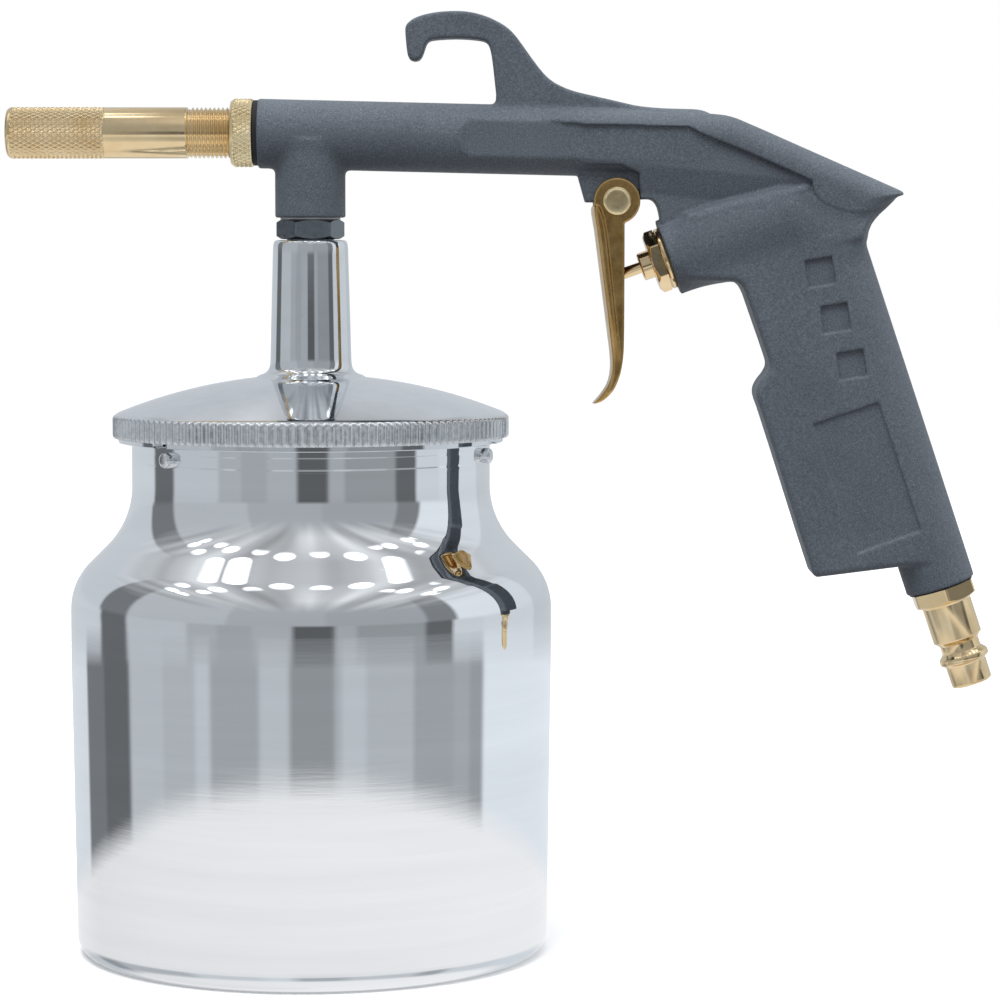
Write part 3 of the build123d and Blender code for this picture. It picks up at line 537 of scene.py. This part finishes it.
def build_trigger(h=0.2):
    X, Y, Z = grid((63.8, -7.2, 127.6), (78.0, 7.2, 182.6), h)
    aY = np.abs(Y)
    half = 6.5 - np.clip((150.0 - Z) / 21.0, 0, 1) ** 1.5 * 2.1 + 0 * X
    crown = 0.75 * (Y / 6.5) ** 2
    pad = poly2(X, Z, chaikin(PAD, 2))
    # the pad is crowned across its width: look the outline up at a shifted x
    xs = X[:, 0, 0]
    padc = np.empty((X.shape[0], Y.shape[1], Z.shape[2]), np.float32)
    for j, cr in enumerate(crown[0, :, 0]):
        sh = cr / h
        k = int(sh)
        f = sh - k
        a = np.roll(pad[:, 0, :], k, 0)
        b = np.roll(pad[:, 0, :], k + 1, 0)
        a[:k] = 9
        b[:k + 1] = 9
        padc[:, j, :] = a * (1 - f) + b * f
    D = rnd(padc, aY - half, 0.5)
    fl = poly2(X, Z, chaikin(FLANGE, 2))
    ear = np.sqrt((X - PX) ** 2 + (Z - PZ) ** 2) - 5.4
    fl = smin(fl, ear, 0.4)
    fl = rnd(fl, np.abs(aY - 5.1) - 0.7, 0.22)
    D = smin(D, fl, 0.5)
    D = np.maximum(D, -(np.sqrt((X - PX) ** 2 + (Z - PZ) ** 2) - 2.06 + 0 * Y))
    V, Q = surface_nets(D, (X[0, 0, 0], Y[0, 0, 0], Z[0, 0, 0]), h)
    return tidy(raw_mesh("trigger_cast", V, Q))


piece("trigger_cast", build_trigger(0.2), "trigger", M_TRIG, "brass_trigger", "trigger")

# pivot pin with its flat, chamfered head
pin_rows = [(-6.9, 0.0), (-6.9, 1.7), (-6.6, 2.0), (-6.5, 2.0), (-6.5, 1.6), (-6.0, 1.6), (-6.0, 2.0), (5.88, 2.0), (5.88, 2.9), (5.95, 3.22), (6.3, 3.25),
            (6.52, 3.2), (6.68, 2.98), (6.70, 2.85), (6.58, 2.70), (6.55, 2.5), (6.58, 1.2), (6.6, 0.0)]
piece("pivot_pin_turned", lathe("pivot_pin_turned", pin_rows, 96, (PX, 0, PZ), (0, -1, 0), (1, 0, 0), sharp=35), "gun", M_KNURL, "brass_trigger", "pivot_pin")

# ====================================================== nozzle tube and lock ring
NK = 33              # starts of the diamond knurl
KP = 2.0             # its pitch along the axis


def vee(u):
    f = np.abs((u % 1.0) - 0.5) * 2.0
    return f


def knurl_rows(x0, x1, r, depth, starts, pitch, per=12, ends=0.5):
    nseg = starts * per
    th = np.arange(nseg) / nseg * starts
    n = max(2, int(round((x1 - x0) / (pitch / per))))
    rows = []
    for k in range(n + 1):
        x = x0 + (x1 - x0) * k / n
        g = np.maximum(vee(th + x / pitch), vee(th - x / pitch))
        g = np.clip(g * 1.18 - 0.18, 0, 1)
        e = min(1.0, min(x - x0, x1 - x) / ends) if ends else 1.0
        rows.append((x, r - depth * g * e - (1 - e) * 0.06))
    return rows, nseg


tip = -70.56
rows, nseg = knurl_rows(tip + 1.0, -47.8, 6.0, 0.36, NK, KP, 12, 0.35)
front = [(tip, 5.15), (tip + 0.05, 5.3), (tip + 0.25, 5.55), (tip + 0.6, 5.8)]
mid = [(-47.75, 5.9), (-47.6, 5.94), (-47.3, 5.95), (-38.0, 5.95), (-28.9, 5.95), (-28.6, 5.93), (-28.47, 5.85)]
th = np.arange(nseg) / nseg


def thread_rows(x0, x1, major, minor, pitch, per=12):
    n = int(round((x1 - x0) / (pitch / per)))
    out = []
    for k in range(n + 1):
        x = x0 + (x1 - x0) * k / n
        u = (x / pitch - th) % 1.0
        f = np.clip(1.25 - np.abs(u - 0.5) * 3.1, 0, 1)          # crest flat, vee flank, root
        e = min(1.0, (x - x0) / 0.8)
        out.append((x, minor + (major - minor) * (f * e + (1 - e) * 0.15)))
    return out


threads = thread_rows(-28.3, -6.0, 5.92, 5.36, 1.0, 12)
tail = [(-5.6, 5.35), (-5.0, 5.0), (-5.0, 4.36), (-6.0, 4.36), (-68.45, 4.36), (-68.5, 4.3), (-68.5, 3.2), (tip + 0.3, 3.2), (tip, 3.45), (tip, 4.2)]
piece("nozzle_barrel", lathe("nozzle_barrel", front + rows + mid + threads + tail, nseg, (0, 0, AXZ), (1, 0, 0), sharp=60), "nozzle", M_BRASS, "brass_bright", "nozzle_tube")

RS = 43
rr, rseg = knurl_rows(-17.55, -13.35, 7.95, 0.34, RS, KP, 12, 0.3)
ring_rows = [(-18.44, 6.02), (-18.44, 7.0), (-18.38, 7.25), (-18.15, 7.5), (-17.85, 7.68)] + rr + [(-13.2, 7.7), (-13.15, 7.55), (-13.15, 6.02)]
piece("lock_ring_knurled", lathe("lock_ring_knurled", ring_rows, rseg, (0, 0, AXZ), (1, 0, 0), sharp=60), "ring", M_KNURL, "brass_bright", "lock_ring")


# ================================================================ hexagon parts
def hexr(nseg, af, turn=0.0):
    """Radius over the angle of a hexagon across flats af, a corner at angle turn."""
    a = (np.arange(nseg) * 360.0 / nseg - turn) % 60.0 - 30.0
    return af / 2 / np.cos(np.radians(a))


def hex_rows(t0, t1, af, nseg, turn, ch0=0.0, ch1=0.0, slope=0.5, n=14):
    """Rows of a hexagon with turned chamfers at either end; ch is the depth of the cone at the corners."""
    H = hexr(nseg, af, turn)
    corner = af / 2 / cos(rad(30))
    rows = []
    ts = [t0]
    if ch0:
        ts += [t0 + ch0 * (k + 1) / n for k in range(n)]
    if ch1:
        ts += [t1 - ch1 * (n - k) / n for k in range(n)]
    ts += [t1]
    for t in ts:
        lim = 99.0
        if ch0:
            lim = min(lim, af / 2 * 0.985 + (t - t0) / ch0 * (corner - af / 2 * 0.985))
        if ch1:
            lim = min(lim, af / 2 * 0.985 + (t1 - t) / ch1 * (corner - af / 2 * 0.985))
        rows.append((t, np.minimum(np.minimum(H, corner - 0.12), lim)))
    return rows


HS = 216
# grey nipple between the suction boss and the stem
nip = [(155.5, 3.6), (155.5, 5.3), (155.8, 5.5), (167.15, 5.5), (167.2, 6.4)] + hex_rows(167.25, 171.75, 14.0, HS, 8.0, 0.75, 0.75) + \
      [(171.8, 6.4), (171.8, 5.5), (180.7, 5.5), (181.0, 5.2), (181.0, 3.6)]
piece("nipple_hex", lathe("nipple_hex", nip, HS, (0, 0, 0), (0, 0, 1), (1, 0, 0), sharp=25), "gun", M_GREY, "grey_fitting", "siphon_nipple")

# gland of the valve with its round nose, and the flange washer behind it
gl = [(-6.85, 1.39), (-6.85, 2.85), (-6.75, 3.12), (-6.5, 3.3), (-4.25, 3.3), (-4.15, 3.45), (-4.15, 6.0)] + hex_rows(-4.13, -1.45, 13.0, HS, 30.0, 0.8, 0.0) + \
     [(-1.4, 6.2), (-1.4, 5.0), (8.7, 5.0), (9.0, 4.7), (9.0, 1.39)]
piece("gland_hex", lathe("gland_hex", gl, HS, (VX, 0, VZ), VAX, sharp=25), "gun", M_BRASS, "brass_bright", "valve_gland")
gw = [(-1.4, 5.06), (-1.4, 6.75), (-1.3, 7.05), (-1.05, 7.3), (-0.3, 7.3), (-0.05, 7.15), (0.0, 6.9), (0.0, 5.06)]
piece("gland_flange", lathe("gland_flange", gw, 128, (VX, 0, VZ), VAX, sharp=35), "gun", M_BRASS, "brass_bright", "gland_washer")
st = [(-14.35, 0.0), (-14.35, 0.55), (-14.2, 0.95), (-13.95, 1.22), (-13.6, 1.33), (20.8, 1.33), (20.8, 3.2), (21.0, 3.4), (22.8, 3.4), (23.0, 3.2), (23.0, 1.6), (24.3, 1.6), (24.5, 1.4), (24.5, 0.0)]
piece("push_rod", lathe("push_rod", st, 64, (VX, 0, VZ), VAX, sharp=35), "valve", M_BRASS, "brass_bright", "valve_stem")

# air plug
pl = [(-10.5, 3.1), (-10.5, 5.8), (-10.0, 6.5), (-0.02, 6.5), (0.38, 6.5), (0.4, 6.7)] + hex_rows(0.42, 3.95, 14.0, HS, 0.0, 0.0, 0.75) + \
     [(3.98, 6.6), (4.05, 6.1), (4.35, 5.95), (4.5, 5.85), (12.75, 5.85), (13.0, 5.75), (13.2, 5.5), (13.95, 4.75), (14.1, 4.66), (15.9, 4.66),
      (16.15, 4.75), (17.0, 5.6), (17.3, 5.82), (17.6, 5.87), (18.2, 5.87), (18.45, 5.8), (18.6, 5.6), (19.1, 4.95), (19.3, 4.85),
      (23.6, 4.83), (23.95, 4.78), (24.2, 4.6), (24.34, 4.3), (24.34, 3.45), (24.0, 3.1)]
piece("plug_turned", lathe("plug_turned", pl, HS, (IX, 0, IZ), IAX, sharp=30), "gun", M_BRASS, "brass_bright", "inlet_plug")

# ========================================================================= lid
TEETH = 144
LS = TEETH * 8
lth = np.arange(LS) / LS
tooth = np.abs(((lth * TEETH) % 1.0) - 0.5) * 2.0
tooth = np.clip(tooth * 1.5 - 0.25, 0, 1)
crown = lambda r, R=120.0: 15.6 + math.sqrt(R * R - r * r)
# notches of the plain flange, one above each stud
ang = lth * 360.0
notch = np.zeros(LS, bool)
for a in STUDS:
    notch |= np.abs((ang - a + 180) % 360 - 180) < 3.0
L = [(167.0, 5.56), (167.0, 7.6), (166.96, 8.0), (166.8, 8.3), (166.5, 8.52), (165.9, 8.68), (165.0, 8.77)]
L += [(165.0 - k * 1.5, 8.77 + (9.46 - 8.77) * k / 17) for k in range(1, 18)]
L += [(138.6, 9.5), (137.9, 9.58), (137.2, 9.75), (136.6, 10.05), (136.1, 10.55), (135.75, 11.2), (135.5, 12.0)]
L += [(crown(r), r) for r in np.linspace(13.0, 44.6, 34)]
L += [(crown(45.1) - 0.02, 45.1), (crown(45.4) - 0.1, 45.4)]
rim = []
for z, e, r in ((126.35, 0.0, 45.75), (126.1, 0.35, 46.0), (125.8, 0.8, 46.3), (125.5, 1.0, 46.35), (124.5, 1.0, 46.35), (123.5, 1.0, 46.35), (122.5, 1.0, 46.35),
                (121.7, 1.0, 46.35), (121.35, 0.9, 46.3), (121.12, 0.6, 46.15), (121.05, 0.35, 45.9)):
    rim.append((z, r - 0.5 * tooth * e))
L += rim
L += [(121.05, 45.15), (np.where(notch, 121.05, 121.0), np.where(notch, 45.1, 45.0)), (np.where(notch, 121.04, 120.1), np.where(notch, 44.9, 45.0)),
      (np.where(notch, 121.03, 119.92), np.where(notch, 44.6, 44.8)), (np.where(notch, 121.02, 119.9), 44.5), (np.where(notch, 121.01, 119.9), 42.5),
      (np.where(notch, 121.0, 120.0), 42.32), (121.1, 42.3), (123.2, 42.3), (123.2, 38.6), (126.4, 38.6)]
L += [(crown(r, 118.0), r) for r in np.linspace(38.0, 12.6, 14)]
L += [(crown(12.5, 118.0), 12.5), (128.0, 12.5), (128.0, 5.56)]
lid_me = lathe("lid_polished", L, LS, (0, 0, 0), (0, 0, 1), (1, 0, 0), sharp=40)
lid_ob = piece("lid_polished", lid_me, "gun", M_CHROME, "lid_chrome", "lid")
lid_me.materials.append(M_RIM)
cen = np.empty(len(lid_me.polygons) * 3, np.float32)
lid_me.polygons.foreach_get("center", cen)
cen = cen.reshape(-1, 3)
rr_ = np.hypot(cen[:, 0], cen[:, 1]) * 1000
zz_ = cen[:, 2] * 1000
mi = ((rr_ > 45.2) & (zz_ < 126.45) & (zz_ > 119.0)).astype(np.int32)
lid_me.polygons.foreach_set("material_index", mi)

# ========================================================================= cup
def cup_profile():
    P = [(0.0, 0.0), (0.0, 20.0), (0.0, 40.0), (0.0, 50.4)]
    P += [(4.1 - 4.1 * cos(rad(a)), 51.25 + 4.1 * sin(rad(a))) for a in (12, 24, 36, 48, 60, 72, 84, 90)]
    P += [(z, 55.35 + (z - 4.1) * 0.975 / 65.9) for z in np.linspace(5.5, 70, 30)]
    P += [(z, 56.325) for z in (74, 77, 79.5)]
    P += [(81.0 + 15 * sin(rad(a)), 41.325 + 15 * cos(rad(a))) for a in np.linspace(0, 45, 24)]
    P += [(94.0, 49.5)]
    P += [(109.9 + 20 * sin(rad(a)), 61.9 + 20 * cos(rad(a))) for a in np.linspace(225, 180, 26)]
    P += [(110.5, 41.9), (113.0, 41.9), (114.6, 41.9), (115.1, 41.9), (115.35, 41.87), (115.6, 41.9), (116.1, 41.9), (117.8, 41.9), (118.05, 41.88), (118.3, 41.9), (119.0, 41.9), (120.6, 41.9), (121.2, 41.9), (121.5, 41.85), (121.75, 41.6), (121.8, 41.4), (121.75, 41.05), (121.5, 40.85)]
    P += [(118.0, 40.8), (112.0, 40.8)]
    P += [(109.9 + 21.1 * sin(rad(a)), 61.9 + 21.1 * cos(rad(a))) for a in np.linspace(180, 225, 10)]
    P += [(81.0 + 13.9 * sin(rad(a)), 41.35 + 13.9 * cos(rad(a))) for a in np.linspace(45, 0, 10)]
    P += [(70.0, 55.25), (40.0, 54.8), (4.4, 54.25)]
    P += [(4.4 - 3.0 * sin(rad(a)), 51.25 + 3.0 * cos(rad(a))) for a in (30, 60, 90)]
    P += [(1.4, 30.0), (1.4, 0.0)]
    return P


piece("cup_spun", lathe("cup_spun", cup_profile(), 384, (0, 0, 0), (0, 0, 1), (1, 0, 0), sharp=50), "cup", M_CUP, "spun_aluminium", "cup")
for k, a in enumerate(STUDS):
    u = (cos(rad(a)), sin(rad(a)), 0)
    prof = [(39.9, 0.0), (39.9, 1.5), (40.05, 1.85), (40.3, 2.0), (40.72, 2.0), (40.72, 1.18), (41.84, 1.18), (41.84, 1.78), (43.5, 1.8), (43.95, 1.62), (44.15, 1.3), (44.2, 0.9), (44.2, 0.0)]
    ob = piece("stud_%d" % k, lathe("stud_%d" % k, prof, 48, (0, 0, 117.2), u, (0, 0, 1), sharp=40), "cup", M_RIM, "spun_aluminium", *(["cup_studs"]))

# ============================================== materials of the carried-over nodes
def mat(node, m):
    me = nodes[node].data
    if me.materials:
        for i in range(len(me.materials)):
            me.materials[i] = m
    else:
        me.materials.append(m)


for n, m in (("lid_gasket", M_RUBBER), ("siphon_tube", M_STEEL), ("tube_nut", M_STEEL), ("boss_washer", M_PTFE),
             ("air_jet", M_STEEL), ("jet_seal", M_RUBBER), ("nozzle_insert", M_LINER), ("ring_washer", M_RUBBER),
             ("pin_clip", M_STEEL), ("poppet_seal", M_RUBBER), ("valve_seat", M_BRASS), ("valve_packing", M_PTFE),
             ("valve_spring", M_STEEL), ("inlet_washer", M_RUBBER)):
    mat(n, m)

# ================================================================ floor and light
def stage_mat(name, col):
    t = Tree(name)
    v = t.coord()
    f = t.noise(v, 8, 2.0, 0.5)
    t.l(t.ramp(f, [(0.3, tuple(c * 0.985 for c in col)), (0.7, col)]), t.b.inputs["Base Color"])
    t.put(Roughness=0.7)
    return t.m


def slab(name, x0, x1, y0, y1, z, m):
    me = bpy.data.meshes.new(name)
    me.from_pydata([(x0, y0, z), (x1, y0, z), (x1, y1, z), (x0, y1, z)], [], [(0, 1, 2, 3)])
    me.materials.append(m)
    ob = bpy.data.objects.new(name, me)
    bpy.context.scene.collection.objects.link(ob)
    return ob


M_FLOOR = stage_mat("floor_pale", (0.92, 0.92, 0.92))
near = slab("floor_near", -0.20, 6, -0.36, 0.6, 0.0, M_FLOOR)
far = [slab("floor_front", -6, 6, -6, -0.36, 0.0, M_FLOOR), slab("floor_left", -6, -0.20, -0.36, 6, 0.0, M_FLOOR),
       slab("floor_back", -0.20, 6, 0.6, 6, 0.0, M_FLOOR)]
for o in far + [near]:
    o.visible_glossy = False
    o.visible_diffuse = False


def world_nodes():
    w = bpy.data.worlds.new("studio")
    bpy.context.scene.world = w
    w.use_nodes = True
    t = w.node_tree
    t.nodes.clear()
    N = lambda k, **kw: (lambda n: [setattr(n, a, b) for a, b in kw.items()] and n or n)(t.nodes.new(k))
    tc = N("ShaderNodeTexCoord")
    sep = N("ShaderNodeSeparateXYZ")
    t.links.new(tc.outputs["Generated"], sep.inputs[0])

    def mth(op, a, b=None):
        m = N("ShaderNodeMath", operation=op)
        for i, v in enumerate((a, b)):
            if v is None:
                continue
            if isinstance(v, (int, float)):
                m.inputs[i].default_value = v
            else:
                t.links.new(v, m.inputs[i])
        return m.outputs[0]

    # azimuth from the front (-Y), positive towards +X, as 0..1
    negy = mth("MULTIPLY", sep.outputs[1], -1.0)
    az = mth("ARCTAN2", sep.outputs[0], negy)
    azn = mth("ADD", mth("DIVIDE", az, 2 * pi), 0.5)

    def ramp(fac, stops, interp="LINEAR"):
        r = N("ShaderNodeValToRGB")
        r.color_ramp.interpolation = interp
        e = r.color_ramp.elements
        while len(e) < len(stops):
            e.new(0.5)
        for el, (p, c) in zip(e, stops):
            el.position = p
            el.color = (*c, 1) if not isinstance(c, (int, float)) else (c * 0.94, c, c * 1.06, 1)
        t.links.new(fac, r.inputs[0])
        return r.outputs[0]

    def bands(lst, soft=0.0035):
        """List of (azimuth where it starts in degrees, grey) to ramp stops with short soft steps."""
        st = []
        prev = None
        for a, g in lst:
            p = a / 360.0 + 0.5
            if prev is not None:
                st.append((max(0.0, p - soft), prev))
            st.append((min(1.0, p + (soft if prev is not None else 0)), g))
            prev = g
        return st

    low = ramp(azn, bands([(-180, 0.76), (-132.5, 0.20), (-113.7, 0.145), (-93.5, 0.54), (-72, 0.49), (-54, 0.59), (-46, 0.40), (-22, 0.56), (-7.6, 0.32),
                           (13.5, 0.48), (17, 0.575), (28.5, 0.50), (52, 0.39), (73.8, 0.42), (83.4, 0.36), (92, 0.85)]))
    high = ramp(azn, bands([(-180, 0.66), (-116, 0.15), (-95, 0.56), (-58, 0.45), (-42, 0.40), (-25, 0.45), (-6, 0.12), (13.5, 0.42), (24, 0.33), (58, 0.14),
                            (73, 0.68), (92, 0.72), (135, 0.62)]))
    elev = mth("ARCSINE", sep.outputs[2])

    def step(e0, e1):
        f = N("ShaderNodeMapRange")
        f.inputs["From Min"].default_value = rad(e0)
        f.inputs["From Max"].default_value = rad(e1)
        t.links.new(elev, f.inputs["Value"])
        return f.outputs[0]

    def blend(fac, a, b):
        m = N("ShaderNodeMix", data_type="RGBA")
        if isinstance(fac, float):
            m.inputs[0].default_value = fac
        else:
            t.links.new(fac, m.inputs[0])
        for i, v in ((6, a), (7, b)):
            if isinstance(v, tuple):
                m.inputs[i].default_value = (*v, 1)
            else:
                t.links.new(v, m.inputs[i])
        return m.outputs[2]

    calm = ramp(azn, bands([(-180, 0.62), (-118, 0.20), (-95, 0.52), (-38, 0.44), (9.5, 0.40), (59, 0.24), (76, 0.85), (106, 0.76), (135, 0.64)]))
    room = blend(step(2.0, 6.0), high, calm)
    room = blend(step(-7.2, -6.2), low, room)
    table = ramp(azn, [(p, (c * 0.995, c, c * 1.012)) for p, c in
                       ((0.0, 0.92), (0.16, 0.82), (0.30, 0.87), (0.5, 0.90), (0.62, 0.91), (0.75, 0.93), (1.0, 0.92))])
    deep = ramp(azn, bands([(-180, 0.60), (-132, 0.34), (-112, 0.50), (-60, 0.66), (-22, 0.74), (-6, 0.46), (20, 0.60), (58, 0.40), (74, 0.68), (110, 0.72)], soft=0.012))
    deep = blend(step(-44.0, -34.0), table, deep)
    table = blend(step(-22.0, -14.0), deep, table)
    lower = ramp(azn, [(0.0, 0.002), (0.24, 0.002), (0.3, 0.0), (1.0, 0.0)])
    f = N("ShaderNodeMapRange")
    f.inputs["From Min"].default_value = rad(-10.8)
    f.inputs["From Max"].default_value = rad(-10.3)
    t.links.new(mth("ADD", elev, lower), f.inputs["Value"])
    room = blend(f.outputs[0], table, room)
    # ceiling plane: a row of lamps and soft stripes that run away from them
    zc = mth("MAXIMUM", sep.outputs[2], 0.05)
    cx = mth("DIVIDE", sep.outputs[0], zc)
    cy = mth("DIVIDE", sep.outputs[1], zc)
    cvec = N("ShaderNodeCombineXYZ")
    t.links.new(cx, cvec.inputs[0])
    t.links.new(mth("MULTIPLY", cy, 0.55), cvec.inputs[1])
    nz = N("ShaderNodeTexVoronoi", voronoi_dimensions="2D", feature="F1")
    nz.inputs["Scale"].default_value = 4.6
    nz.inputs["Randomness"].default_value = 0.55
    t.links.new(cvec.outputs[0], nz.inputs["Vector"])
    svec = N("ShaderNodeCombineXYZ")
    t.links.new(cx, svec.inputs[0])
    t.links.new(mth("MULTIPLY", cy, 0.12), svec.inputs[1])
    nz2 = N("ShaderNodeTexNoise")
    nz2.inputs["Scale"].default_value = 4.0
    nz2.inputs["Detail"].default_value = 0.5
    t.links.new(svec.outputs[0], nz2.inputs["Vector"])
    lampf = N("ShaderNodeMapRange")
    lampf.inputs["From Min"].default_value = 0.36
    lampf.inputs["From Max"].default_value = 0.22
    t.links.new(nz.outputs["Distance"], lampf.inputs["Value"])
    rowf = N("ShaderNodeMapRange")
    rowf.inputs["From Min"].default_value = 0.30
    rowf.inputs["From Max"].default_value = 0.10
    t.links.new(mth("ABSOLUTE", mth("ADD", cy, 0.10)), rowf.inputs["Value"])
    lamp = mth("MULTIPLY", mth("MULTIPLY", lampf.outputs[0], rowf.outputs[0]), mth("LESS_THAN", mth("ABSOLUTE", cx), 1.1))
    stripe = mth("MULTIPLY", mth("SUBTRACT", nz2.outputs["Fac"], 0.5), 1.1)
    ceil_v = mth("MAXIMUM", mth("ADD", mth("ADD", 0.56, stripe), mth("MULTIPLY", lamp, 2.6)), 0.12)
    cc = N("ShaderNodeCombineColor")
    for i, k in enumerate((0.97, 1.0, 1.035)):
        t.links.new(mth("MULTIPLY", ceil_v, k), cc.inputs[i])
    upper = blend(step(26, 48), room, cc.outputs[0])

    sky = N("ShaderNodeValToRGB")
    el_ = sky.color_ramp.elements
    for k in range(3):
        el_.new(0.5)
    for e_, (p_, c_) in zip(el_, ((0.0, 0.22), (0.49, 0.30), (0.56, 0.42), (0.72, 0.90), (0.95, 1.75))):
        e_.position = p_
        e_.color = (c_ * 0.98, c_ * 0.995, c_ * 1.02, 1)
    t.links.new(mth("ADD", mth("MULTIPLY", sep.outputs[2], 0.5), 0.5), sky.inputs[0])
    lp = N("ShaderNodeLightPath")
    glossy = N("ShaderNodeBackground")
    t.links.new(upper, glossy.inputs[0])
    soft = N("ShaderNodeBackground")
    t.links.new(sky.outputs[0], soft.inputs[0])
    soft.inputs[1].default_value = 0.95
    white = N("ShaderNodeBackground")
    white.inputs[0].default_value = (1, 1, 1, 1)
    white.inputs[1].default_value = 1.0
    m1 = N("ShaderNodeMixShader")
    t.links.new(lp.outputs["Is Glossy Ray"], m1.inputs[0])
    t.links.new(soft.outputs[0], m1.inputs[1])
    t.links.new(glossy.outputs[0], m1.inputs[2])
    m2 = N("ShaderNodeMixShader")
    t.links.new(lp.outputs["Is Camera Ray"], m2.inputs[0])
    t.links.new(m1.outputs[0], m2.inputs[1])
    t.links.new(white.outputs[0], m2.inputs[2])
    out = N("ShaderNodeOutputWorld")
    t.links.new(m2.outputs[0], out.inputs[0])


world_nodes()


def area(name, loc, size, power, target=(0.03, 0, 0.12), size_y=None, glossy=True):
    d = bpy.data.lights.new(name, "AREA")
    d.shape = "RECTANGLE"
    d.size = size
    d.size_y = size_y or size
    d.energy = power
    o = bpy.data.objects.new(name, d)
    bpy.context.scene.collection.objects.link(o)
    o.location = loc
    o.rotation_euler = (Vector(target) - Vector(loc)).to_track_quat("-Z", "Y").to_euler()
    o.visible_glossy = glossy
    return o


area("key_top", (-0.25, -0.55, 1.25), 0.5, 9.0, glossy=False)
area("side_right", (1.2, -0.3, 0.9), 0.8, 4.0, glossy=False)
area("back_rim", (0.4, 1.2, 1.2), 1.2, 6.0, glossy=False)
